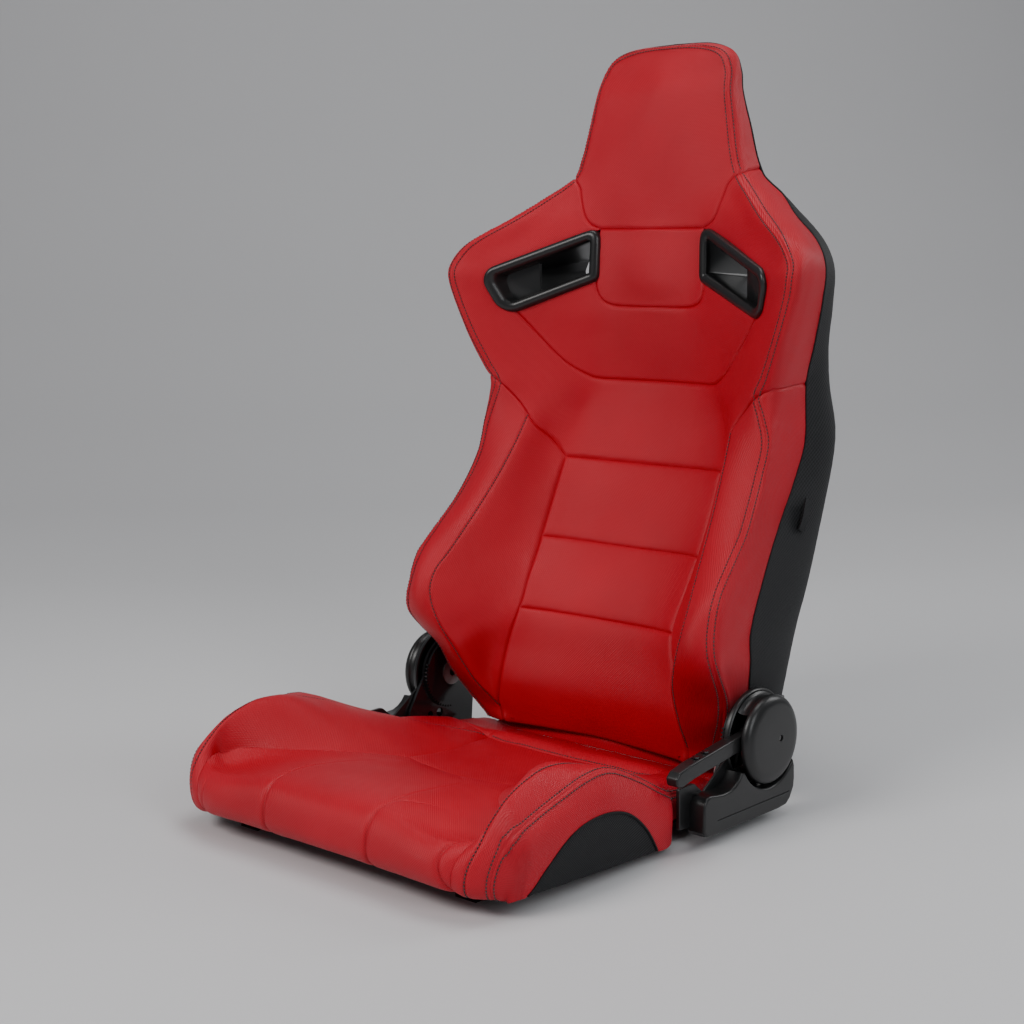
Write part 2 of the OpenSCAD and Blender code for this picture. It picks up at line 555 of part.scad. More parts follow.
rail_w = 30;
rail_h = 20;
rail_y0 = -212;
rail_y1 = 212;
bolt_at = [for (y = [-70, 70]) [mount_x / 2, y]];
module side_rail() color("black") difference() {
    translate([mount_x / 2 - rail_w / 2, rail_y0, 0]) cube([rail_w, rail_y1 - rail_y0, rail_h]);
    translate([mount_x / 2 - rail_w / 2 + tube_wall, rail_y0 - 1, tube_wall])
        cube([rail_w - 2 * tube_wall, rail_y1 - rail_y0 + 2, rail_h - 2 * tube_wall]);
    for (y = [-mount_y / 2, mount_y / 2]) translate([mount_x / 2, y, -1])
        cylinder(r = 9.02, h = rail_h + 2);
    for (p = bolt_at) translate([p[0], p[1], rail_h / 2]) cylinder(r = 3.02, h = rail_h);
}
module mounting_bushes() color("silver")
    for (x = [-mount_x / 2, mount_x / 2]) for (y = [-mount_y / 2, mount_y / 2])
        translate([x, y, 0]) difference() {
            cylinder(r = 9, h = rail_h);
            translate([0, 0, -1]) cylinder(r = mount_r, h = rail_h + 2);
        }
module rail_tube(y, x0, x1) color("black") translate([x0, y, rail_h / 2]) rotate([0, 90, 0])
    difference() {
        cylinder(r = 9.5, h = x1 - x0);
        translate([0, 0, -1]) cylinder(r = 9.5 - tube_wall, h = x1 - x0 + 2);
    }
inner_x = mount_x / 2 - rail_w / 2;
module front_cross_tube() rail_tube(-185, -inner_x, inner_x);
module rear_cross_tube() rail_tube(150, -inner_x, inner_x);
module hinge_outrigger() rail_tube(190, mount_x / 2 + rail_w / 2, lower_x);
// Sheet with raised ribs, lying on the rails
pan_t = 1.6;
rib_line = concat([[-192, 0]], [for (x = [-110, 0, 110]) for (k = [[-24, 0], [-18, 4], [18, 4],
    [24, 0]]) [x + k[0], k[1]]], [[192, 0]]);
module seat_pan() color("gray") difference() {
    translate([0, 135, rail_h]) rotate([90, 0, 0]) linear_extrude(335)
        polygon(concat(rib_line, [for (i = [len(rib_line) - 1 : -1 : 0]) rib_line[i] + [0, pan_t]]));
    both_sides() for (p = bolt_at) translate([p[0], p[1], 0]) cylinder(r = 3.02, h = 60);
}
module seat_pan_bolts() color("silver") both_sides() for (p = bolt_at)
    translate([p[0], p[1], 8]) {
        cylinder(r = 3, h = 14);
        translate([0, 0, rail_h - 8 + pan_t]) cylinder(r = 5, h = 4);
    }

// Draws a right-hand part on the left
module left() mirror([1, 0, 0]) children();

left() side_rail();  // side_rail_left
side_rail();  // side_rail_right
front_cross_tube();
rear_cross_tube();
left() hinge_outrigger();  // hinge_outrigger_left
hinge_outrigger();  // hinge_outrigger_right
mounting_bushes();
seat_pan();
seat_pan_bolts();
front_roll();
seat_insert_pad();
seat_rear_strip();
left() thigh_bolster();  // thigh_bolster_left
thigh_bolster();  // thigh_bolster_right
left() side_arch();  // side_arch_left
side_arch();  // side_arch_right
left() lower_hinge_plate();  // lower_hinge_plate_left
lower_hinge_plate();  // lower_hinge_plate_right
left() hinge_bush();  // hinge_bush_left
hinge_bush();  // hinge_bush_right
pawl_pin();
return_spring();
left() recliner_cover();  // recliner_cover_left
recliner_cover();  // recliner_cover_right
left() recliner_cap();  // recliner_cap_left
slotted_cap();  // recliner_cap_right
cap_screws();
left() upper_hinge_plate();  // upper_hinge_plate_left
upper_hinge_plate();  // upper_hinge_plate_right
left() upright();  // upright_left
upright();  // upright_right
lower_back_tube();
shoulder_tube();
headrest_hoop();
left() wing_strap();  // wing_strap_left
wing_strap();  // wing_strap_right
lumbar_wires();
headrest_pad();
neck_pad();
upper_back_pad();
middle_back_pad();
lumbar_pad(298, 401);  // lumbar_pad_upper
lumbar_pad(208, 298);  // lumbar_pad_middle
lumbar_pad(30, 208);  // lumbar_pad_lower
left() shoulder_wing();  // shoulder_wing_left
shoulder_wing();  // shoulder_wing_right
left() back_bolster();  // back_bolster_left
back_bolster();  // back_bolster_right
rear_cover();
left() harness_guide();  // harness_guide_left
harness_guide();  // harness_guide_right
side_tab();
release_lever();
lever_screws();
release_shaft();
release_cam();
lever_spring();
locking_pawl();
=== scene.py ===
import json
import math
import bmesh
import bpy
import numpy as np
from mathutils import Matrix, Vector, kdtree, noise
from mathutils.geometry import delaunay_2d_cdt


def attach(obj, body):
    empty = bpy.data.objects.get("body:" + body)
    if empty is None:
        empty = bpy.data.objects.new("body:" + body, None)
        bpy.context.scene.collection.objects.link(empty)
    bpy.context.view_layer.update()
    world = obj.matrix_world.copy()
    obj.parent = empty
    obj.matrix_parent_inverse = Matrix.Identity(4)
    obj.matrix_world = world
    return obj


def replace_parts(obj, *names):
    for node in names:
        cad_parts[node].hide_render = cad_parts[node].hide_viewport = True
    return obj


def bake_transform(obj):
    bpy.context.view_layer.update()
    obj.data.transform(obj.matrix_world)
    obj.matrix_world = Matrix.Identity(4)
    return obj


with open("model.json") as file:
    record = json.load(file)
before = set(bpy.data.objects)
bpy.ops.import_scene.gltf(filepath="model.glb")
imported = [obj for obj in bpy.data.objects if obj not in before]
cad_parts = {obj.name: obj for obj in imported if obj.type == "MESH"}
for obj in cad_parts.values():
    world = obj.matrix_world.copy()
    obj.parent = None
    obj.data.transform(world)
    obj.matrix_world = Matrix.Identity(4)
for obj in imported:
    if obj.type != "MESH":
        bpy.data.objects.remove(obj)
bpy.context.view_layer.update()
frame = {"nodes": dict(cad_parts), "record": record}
MM = 0.001
AY, AZ = 207.0, 103.0  # y and z of the hinge axis in mm
SIDES = (("right", 1), ("left", -1))
BACK_FOOT, BACK_TOP = 22, 984  # w at the lower and upper edge of the backrest's panels
COVER_FOOT = 95                # w at the lower edge of the rear cover
STRIP_REACH = 66.3             # radius about the hinge axis that the base's rear strip keeps clear
TWIN = (-4.2, 4.2)             # sideways place in mm of the two rows of stitches at a double seam
MOULD_X = 257.2                # inner face of the recliner's mouldings


# ---------- smooth surfaces through rails ----------

def hermite(rail, w):
    """Point on a rail, given as rows of [w, x, y, z], at each w."""
    rail = np.array(rail, float)
    k, p = rail[:, 0], rail[:, 1:]
    lo, hi = np.maximum(np.arange(len(k)) - 1, 0), np.minimum(np.arange(len(k)) + 1, len(k) - 1)
    m = (p[hi] - p[lo]) / (k[hi] - k[lo])[:, None]
    i = np.clip(np.searchsorted(k, w, side="right") - 1, 0, len(k) - 2)
    h = (k[i + 1] - k[i])[:, None]
    t = np.clip((w - k[i]) / (k[i + 1] - k[i]), 0, 1)[:, None]
    return (p[i] * (1 + 2 * t) * (1 - t) ** 2 + m[i] * h * t * (1 - t) ** 2
            + p[i + 1] * t * t * (3 - 2 * t) + m[i + 1] * h * t * t * (t - 1))


def catmull(p, n):
    """Open smooth line through points p, with n steps in each interval."""
    p = np.array(p, float)
    out = []
    for i in range(len(p) - 1):
        a, b, c, d = p[max(i - 1, 0)], p[i], p[i + 1], p[min(i + 2, len(p) - 1)]
        for t in np.arange(n) / n:
            out.append(0.5 * (2 * b + (c - a) * t + (2 * a - 5 * b + 4 * c - d) * t * t
                              + (3 * b - a - 3 * c + d) * t ** 3))
    out.append(p[-1])
    return np.array(out)


def spaced(line, step):
    """The same line with points about step apart."""
    line = np.array(line, float)
    run = np.concatenate([[0], np.cumsum(np.linalg.norm(np.diff(line, axis=0), axis=1))])
    n = max(int(round(run[-1] / step)), 1)
    at = np.linspace(0, run[-1], n + 1)
    return np.stack([np.interp(at, run, line[:, k]) for k in range(line.shape[1])], axis=1)


class Surface:
    """Surface through rails, mirrored about x = 0.

    s is the distance in mm round it from the middle, and w runs along the rails.
    """

    def __init__(self, rails, w0, w1, chordal=False):
        self.rails, self.n, self.chordal = rails, len(rails), chordal
        self.w0, self.w1 = w0, w1
        self.rows = np.arange(w0, w1 + 1.0, 2.0)
        self.us = np.linspace(0, self.n - 1, 36 * (self.n - 1) + 1)
        grid = np.array([self.point(np.full(len(self.rows), u), self.rows) for u in self.us])
        step = np.linalg.norm(np.diff(grid, axis=0), axis=2)
        self.run = np.concatenate([np.zeros((1, len(self.rows))), np.cumsum(step, axis=0)]).T
        self.grid = grid.transpose(1, 0, 2)
        self.s_max = self.run[:, -1].max()
        self.ss = np.arange(0, self.s_max + 4, 2.0)
        self.inverse = np.array([np.interp(self.ss, r, self.us) for r in self.run])

    def point(self, u, w):
        """Points in mm at girth parameter u and w."""
        u, w = np.asarray(u, float), np.asarray(w, float)
        side = np.where(u < 0, -1.0, 1.0)
        v = np.clip(np.abs(u), 0, self.n - 1)
        i = np.minimum(v.astype(int), self.n - 2)
        t = (v - i)[:, None]
        stack = np.array([hermite(r, w) for r in self.rails])
        flip = np.array([-1.0, 1, 1])
        before = stack[1] * flip
        at = np.arange(len(w))
        a = np.where((i == 0)[:, None], before, stack[np.maximum(i - 1, 0), at])
        b, c = stack[i, at], stack[i + 1, at]
        d = stack[np.minimum(i + 2, self.n - 1), at]
        mb, mc = (c - a) / 2, (d - b) / 2
        if self.chordal:  # rails stand at uneven distances, so tangents follow the chords
            h = [np.maximum(np.linalg.norm(y - x, axis=1), 1e-3)[:, None]
                 for x, y in ((a, b), (b, c), (c, d))]
            mb = ((b - a) / h[0] * h[1] + (c - b) / h[1] * h[0]) / (h[0] + h[1]) * h[1]
            mc = np.where(h[2] < 0.01, c - b,
                          ((c - b) / h[1] * h[2] + (d - c) / h[2] * h[1]) / (h[1] + h[2]) * h[1])
        p = (b * (1 + 2 * t) * (1 - t) ** 2 + mb * t * (1 - t) ** 2
             + c * t * t * (3 - 2 * t) + mc * t * t * (t - 1))
        p[:, 0] *= side
        return p

    def u_of(self, s, w):
        """Girth parameter at distance s round the surface."""
        r = np.clip((np.asarray(w, float) - self.w0) / 2.0, 0, len(self.rows) - 1.001)
        c = np.clip(np.abs(s) / 2.0, 0, len(self.ss) - 1.001)
        i, j = r.astype(int), c.astype(int)
        f, g = r - i, c - j
        inv = self.inverse
        u = (inv[i, j] * (1 - f) * (1 - g) + inv[i + 1, j] * f * (1 - g)
             + inv[i, j + 1] * (1 - f) * g + inv[i + 1, j + 1] * f * g)
        return np.where(np.asarray(s) < 0, -u, u)

    def s_of(self, u, w):
        """Distance round the surface at girth parameter u."""
        r = np.clip((np.asarray(w, float) - self.w0) / 2.0, 0, len(self.rows) - 1.001)
        i = r.astype(int)
        f = r - i
        out = np.array([np.interp(abs(b), self.us, self.run[a]) * (1 - g)
                        + np.interp(abs(b), self.us, self.run[a + 1]) * g
                        for a, g, b in zip(i, f, np.broadcast_to(u, f.shape))])
        return np.where(np.broadcast_to(u, f.shape) < 0, -out, out)

    def s_at(self, u, w):
        """The same for one point, as a number."""
        return float(self.s_of(u, [w])[0])

    def at(self, sw):
        """Points in mm at rows of [s, w]."""
        sw = np.asarray(sw, float)
        return self.point(self.u_of(sw[:, 0], sw[:, 1]), sw[:, 1])

    def normal(self, sw):
        """Outward unit normals."""
        sw = np.asarray(sw, float)
        u = self.u_of(sw[:, 0], sw[:, 1])
        e = 0.02
        top = self.n - 1
        a = self.point(np.clip(u + e, -top, top), sw[:, 1]) - self.point(np.clip(u - e, -top, top), sw[:, 1])
        lo, hi = np.clip(sw[:, 1] - 2, self.w0, self.w1), np.clip(sw[:, 1] + 2, self.w0, self.w1)
        b = self.point(u, hi) - self.point(u, lo)
        n = np.cross(a, b)
        return n / np.maximum(np.linalg.norm(n, axis=1, keepdims=True), 1e-9)

    def along(self, u, w_from, w_to, step=4.0):
        """Line [s, w] along girth parameter u."""
        n = max(int(abs(w_to - w_from) / step), 1)
        w = np.linspace(w_from, w_to, n + 1)
        return np.stack([self.s_of(np.full(n + 1, float(u)), w), w], axis=1)

    def seen(self, line, axis=0, u_from=0.0, u_to=None):
        """Line [s, w] through points given as [x, w], or as [z, w] with axis 2.

        Only the part of the surface between two girth parameters is searched.
        """
        us = np.linspace(u_from, self.n - 1 if u_to is None else u_to, 400)
        out = []
        for value, w in line:
            p = self.point(us, np.full(len(us), float(w)))[:, axis]
            if p[-1] < p[0]:
                u = np.interp(value, p[::-1], us[::-1])
            else:
                top = int(np.argmax(p))
                u = np.interp(value, p[:top + 1], us[:top + 1])
            out.append([float(self.s_of(np.array([u]), np.array([float(w)]))[0]), w])
        return np.array(out)


def mirror_line(line):
    """The line on the other side, in reverse order."""
    return np.array(line)[::-1] * [-1, 1]


def join(*lines):
    """Lines put end to end."""
    out = [np.array(lines[0])]
    for line in lines[1:]:
        line = np.array(line)
        out.append(line[1:] if np.linalg.norm(line[0] - out[-1][-1]) < 1.0 else line)
    return np.concatenate(out)


# ---------- backrest: rails as [z, x, y] ----------

TOP = [986, 0, 396, 940.5]


def back_rail(points, foot=True):
    """Rail [w, x, y, z]: w is the height up to 900, and then runs over the top."""
    w = {900: 900, 925: 934, 938: 962}
    out = [[w.get(z, z), x, y, z] for z, x, y in points]
    if foot:
        z, x, y = points[0]
        out = [[22, x * 0.97, y + 12, z + 6.5], [34, x * 0.99, y + 4, z + 1.5],
               [48, x, y, 52]] + [r for r in out if r[0] > 55]
    return out + [TOP]


centre_line = [[45, 0, 232], [80, 0, 222], [110, 0, 217], [150, 0, 222], [208, 0, 238],
               [298, 0, 286], [401, 0, 336], [460, 0, 354], [505, 0, 358], [560, 0, 350], [604, 0, 340],
               [640, 0, 333], [705, 0, 338], [772, 0, 339], [836, 0, 341], [877, 0, 348], [900, 0, 357],
               [925, 0, 368], [938, 0, 376]]
pad_edge = [[45, 130, 218], [107, 146, 201], [149, 142, 204], [208, 127, 216], [298, 130, 266],
            [401, 129, 316], [460, 115, 338], [505, 93, 345], [560, 90, 342], [604, 80, 336],
            [665, 84, 335], [705, 80, 338], [772, 70, 341], [836, 55, 345], [877, 50, 352], [900, 48, 361],
            [925, 42, 370], [938, 22, 377]]
crest = [[45, 152, 211], [68, 159, 208], [108, 172, 175], [160, 184, 145], [195, 197, 131],
         [232, 208, 129], [260, 209, 141], [284, 202, 162], [341, 189, 208], [395, 178, 247],
         [460, 168, 284], [505, 165, 298], [560, 166, 308], [600, 182, 300], [650, 190, 287],
         [691, 178, 303], [721, 150, 320], [745, 128, 334], [772, 110, 343], [836, 90, 349],
         [877, 86, 355], [900, 81, 364], [925, 66, 372], [938, 38, 378]]
outer_seam = [[45, 190, 216], [110, 225, 188], [150, 238, 172], [193, 252, 137], [215, 252, 129],
              [242, 249, 133], [281, 246, 149], [312, 242, 179], [343, 238, 211], [375, 233, 235],
              [408, 230, 254], [448, 230, 268], [480, 220, 272], [502, 213, 272], [525, 226, 268],
              [570, 248, 258], [623, 269, 251], [646, 274, 249], [663, 272, 254], [691, 249, 267],
              [721, 202, 298], [745, 168, 322], [772, 134, 344], [797, 123, 349], [836, 114, 354],
              [877, 106, 359], [900, 102, 367], [925, 86, 374], [938, 52, 380]]
side_line = [[45, 196, 226], [110, 230, 205], [150, 241, 188], [175, 247, 172], [200, 256, 155],
             [242, 258, 150], [281, 254, 166], [343, 244, 226], [408, 237, 270], [448, 236, 284],
             [505, 237, 290], [525, 245, 287], [570, 262, 281], [623, 281, 276], [650, 286, 277],
             [672, 282, 284], [691, 266, 294], [721, 216, 322], [745, 184, 342], [772, 142, 360],
             [797, 131, 366], [836, 122, 372], [877, 112, 376], [900, 109, 382], [925, 95, 388],
             [938, 60, 388]]
cover_edge = [[45, 200, 232], [95, 232, 240], [146, 242, 222], [190, 250, 214], [228, 250, 214],
              [290, 246, 247], [346, 238, 290], [394, 232, 330], [443, 233, 352], [516, 237, 347],
              [563, 255, 336], [618, 270, 330], [660, 268, 338], [691, 246, 350], [721, 207, 364],
              [745, 178, 380], [772, 138, 394], [836, 115, 397], [877, 104, 396], [900, 102, 396],
              [925, 89, 397], [938, 56, 396]]
rear_corner = [[95, 205, 318], [121, 206, 332], [195, 215, 347], [268, 222, 370], [368, 220, 410],
               [445, 218, 430], [510, 212, 422], [562, 214, 410], [612, 218, 408], [660, 216, 410],
               [700, 190, 414], [745, 140, 414], [772, 108, 411], [836, 88, 408], [877, 79, 405],
               [900, 74, 404], [925, 62, 402], [938, 36, 400]]
rear_line = [[95, 0, 318], [121, 0, 332], [195, 0, 352], [268, 0, 384], [368, 0, 428],
             [445, 0, 446], [510, 0, 440], [562, 0, 430], [612, 0, 426], [660, 0, 425], [700, 0, 424],
             [745, 0, 420], [772, 0, 416], [836, 0, 413], [877, 0, 410], [900, 0, 408], [925, 0, 405],
             [938, 0, 402]]
back = Surface([back_rail(r) for r in (centre_line, pad_edge, crest, outer_seam, side_line, cover_edge)],
               BACK_FOOT, 986)
shell = Surface([back_rail(r, False) for r in (rear_line, rear_corner, cover_edge[1:])], COVER_FOOT, 986)

# ---------- seat base: rails as [w, x, y, z]; w is y over the top, and runs down the front ----------

WRAP = [-330, -314, -296, -278, -262, -247, -232]


def base_rail(x, y, z, rest):
    return [[w, a, b, c] for w, a, b, c in zip(WRAP, x, y, z)] + [[y, x, y, z] for y, x, z in rest]


seat_middle = base_rail([0] * 7, [-234, -255, -267, -268, -263, -251, -232],
                        [24, 27.5, 40.5, 59, 75, 87, 92.5],
                        [[-205, 0, 93], [-160, 0, 88], [-100, 0, 78], [-60, 0, 69], [-32, 0, 60], [0, 0, 54],
                         [60, 0, 47], [120, 0, 40], [165, 0, 36], [182, 0, 40], [207, 0, 36.5], [238, 0, 33]])
roll_edge = base_rail([85] * 7, [-234, -255, -267, -268, -263, -251, -232],
                      [24, 27.5, 40.5, 59, 75, 87, 92.5],
                      [[-205, 84, 94], [-160, 80, 90], [-100, 70, 80], [-60, 55, 71], [-32, 45, 62],
                       [0, 45, 56],
                       [60, 50, 49], [120, 60, 42], [165, 70, 37], [182, 70, 41], [207, 70, 36.5],
                       [238, 70, 33]])
bolster_foot = base_rail([205, 206, 208, 211, 215, 219, 223], [-234, -255, -264, -265, -259, -247, -231],
                         [21.5, 26, 38.5, 54.5, 68, 79, 86],
                         [[-212, 226, 88], [-193, 214, 90], [-150, 172, 87], [-115, 140, 84], [-70, 110, 76],
                          [-32, 90, 67], [0, 92, 62], [60, 98, 55], [110, 118, 48], [165, 138, 40],
                          [182, 139, 41.5], [207, 140, 36.5], [238, 140, 33]])
bolster_crest = base_rail([219, 221, 224, 227, 231, 234, 234], [-232, -251, -259, -260, -256, -246, -230],
                          [19, 24, 35.5, 51.5, 66.5, 82, 101],
                          [[-199, 234, 124], [-161, 233, 137], [-133, 230, 139], [-102, 228, 135],
                           [-45, 220, 117],
                           [0, 208, 98], [60, 188, 77], [110, 168, 60], [165, 150, 44], [182, 150, 41.5],
                           [207, 150, 36.5], [238, 150, 33]])
base_seam = base_rail([239, 242, 245.5, 248, 251, 254, 256.5], [-221, -235, -242.5, -244.5, -242, -236, -225],
                      [18, 22, 31.5, 45, 59.5, 74, 86.5],
                      [[-190, 258, 101.5], [-151, 258, 113], [-102, 257, 124], [-64, 257, 124],
                       [-16, 257, 103],
                       [30, 256, 77], [52, 252, 66], [66, 240, 60], [110, 238, 54], [165, 236, 43],
                       [182, 235, 40],
                       [207, 233, 35.5], [238, 230, 32]])
base_side = base_rail([247, 249, 252, 255, 258, 261, 263], [-215, -225, -231, -233.5, -233, -229, -220.5],
                      [17.5, 19.5, 26, 37, 50, 64, 76.5],
                      [[-190, 265, 92.5], [-151, 265, 104], [-102, 264, 114], [-64, 264, 114], [-16, 264, 92],
                       [30, 262, 66], [48, 258, 56], [66, 243, 52], [110, 243, 46], [165, 242, 37],
                       [207, 238, 33],
                       [238, 234, 30]])
base_bottom = base_rail([246, 248.5, 251.5, 254.5, 257.5, 260, 261.5],
                        [-209, -217, -222.5, -225, -224.5, -221.5, -215],
                        [17, 17, 17.4, 18.2, 19.2, 20, 20],
                        [[-204, 262, 19.8], [17, 262, 9.8], [46, 258, 10], [52, 254, 22], [66, 242, 28],
                         [110, 240, 28],
                         [165, 238, 28], [207, 234, 28], [238, 231, 28]])
base = Surface([seat_middle, roll_edge, bolster_foot, bolster_crest, base_seam, base_side, base_bottom], -330,
               238, chordal=True)


# ---------- mesh helpers ----------

def new_object(name, co, faces):
    """Object in the scene from points in mm and faces."""
    mesh = bpy.data.meshes.new(name)
    mesh.from_pydata((np.asarray(co, float) * MM).tolist(), [], faces)
    mesh.update()
    obj = bpy.data.objects.new(name, mesh)
    bpy.context.scene.collection.objects.link(obj)
    return obj


def smooth(mesh):
    mesh.polygons.foreach_set("use_smooth", np.ones(len(mesh.polygons), bool))


def set_uv(mesh, flat):
    """UV map in units of 100 mm, from one pair in mm for each vertex."""
    uv = mesh.uv_layers.new(name="UVMap")
    index = np.zeros(len(mesh.loops), np.int32)
    mesh.loops.foreach_get("vertex_index", index)
    uv.data.foreach_set("uv", (flat * 0.01)[index].astype(np.float32).ravel())


# ---------- padded panels ----------

def nearest(points, lines):
    """Distance of each point from a set of lines, given as arrays of close points."""
    if not len(lines):
        return np.full(len(points), 1e3)
    a = np.concatenate([l[:-1] for l in lines])
    b = np.concatenate([l[1:] for l in lines])
    out = np.empty(len(points))
    for k in range(0, len(points), 2000):
        p = points[k:k + 2000, None, :]
        d = (b - a)[None]
        t = np.clip(((p - a) * d).sum(2) / np.maximum((d * d).sum(2), 1e-9), 0, 1)
        out[k:k + 2000] = np.linalg.norm(p - a - d * t[..., None], axis=2).min(1)
    return out


def inside(points, loop):
    """Whether each point is inside a closed loop."""
    x, y = points[:, 0][:, None], points[:, 1][:, None]
    a, b = loop, np.roll(loop, -1, axis=0)
    crosses = (a[:, 1] > y) != (b[:, 1] > y)
    with np.errstate(divide="ignore", invalid="ignore"):
        at = a[:, 0] + (y - a[:, 1]) * (b[:, 0] - a[:, 0]) / (b[:, 1] - a[:, 1])
    return (crosses & (x < at)).sum(1) % 2 == 1


def beside(line, offset):
    """The line moved sideways by offset, point by point."""
    t = np.gradient(line, axis=0)
    t /= np.maximum(np.linalg.norm(t, axis=1, keepdims=True), 1e-9)
    return line + np.stack([-t[:, 1], t[:, 0]], axis=1) * offset


def wobble(sw, size, seed):
    """Smooth noise from -1 to 1 with bumps about size mm across."""
    return np.array([noise.noise(Vector((p[0] / size, p[1] / size, seed * 7.3))) for p in sw])


RELIEF = {  # how the leather dips at a line, as a function of the distance from it in mm
    "join": lambda d: -2.9 * np.exp(-d / 2.4) + 1.7 * (1 - np.exp(-d / 9.0)) * np.exp(-d / 60),
    "rim": lambda d: -1.6 * np.exp(-d / 2.6),
    "fold": lambda d: -2.2 * np.exp(-d / 6.0) + 0.6 * (1 - np.exp(-d / 14.0)) * np.exp(-d / 60),
    "double": lambda d: -1.1 * np.exp(-(d / 1.1) ** 2) - 0.55 * np.exp(-((d - 4.2) / 1.3) ** 2)
    + 0.35 * np.exp(-((d - 2.3) / 1.0) ** 2) + 0.5 * (1 - np.exp(-np.maximum(d - 5, 0) / 6))
    * np.exp(-d / 40),
    "pleat": lambda d: -3.4 * np.exp(-d / 1.9) + 1.6 * (1 - np.exp(-d / 6.0)) * np.exp(-d / 26),
    "single": lambda d: -1.3 * np.exp(-(d / 1.6) ** 2) + 0.5 * (1 - np.exp(-d / 5)) * np.exp(-d / 30),
    "crease": lambda d: -1.9 * np.exp(-(d / 2.2)) + 0.8 * (1 - np.exp(-d / 7)) * np.exp(-d / 30),
}
fronts = {"back": [], "base": []}
sheets = []


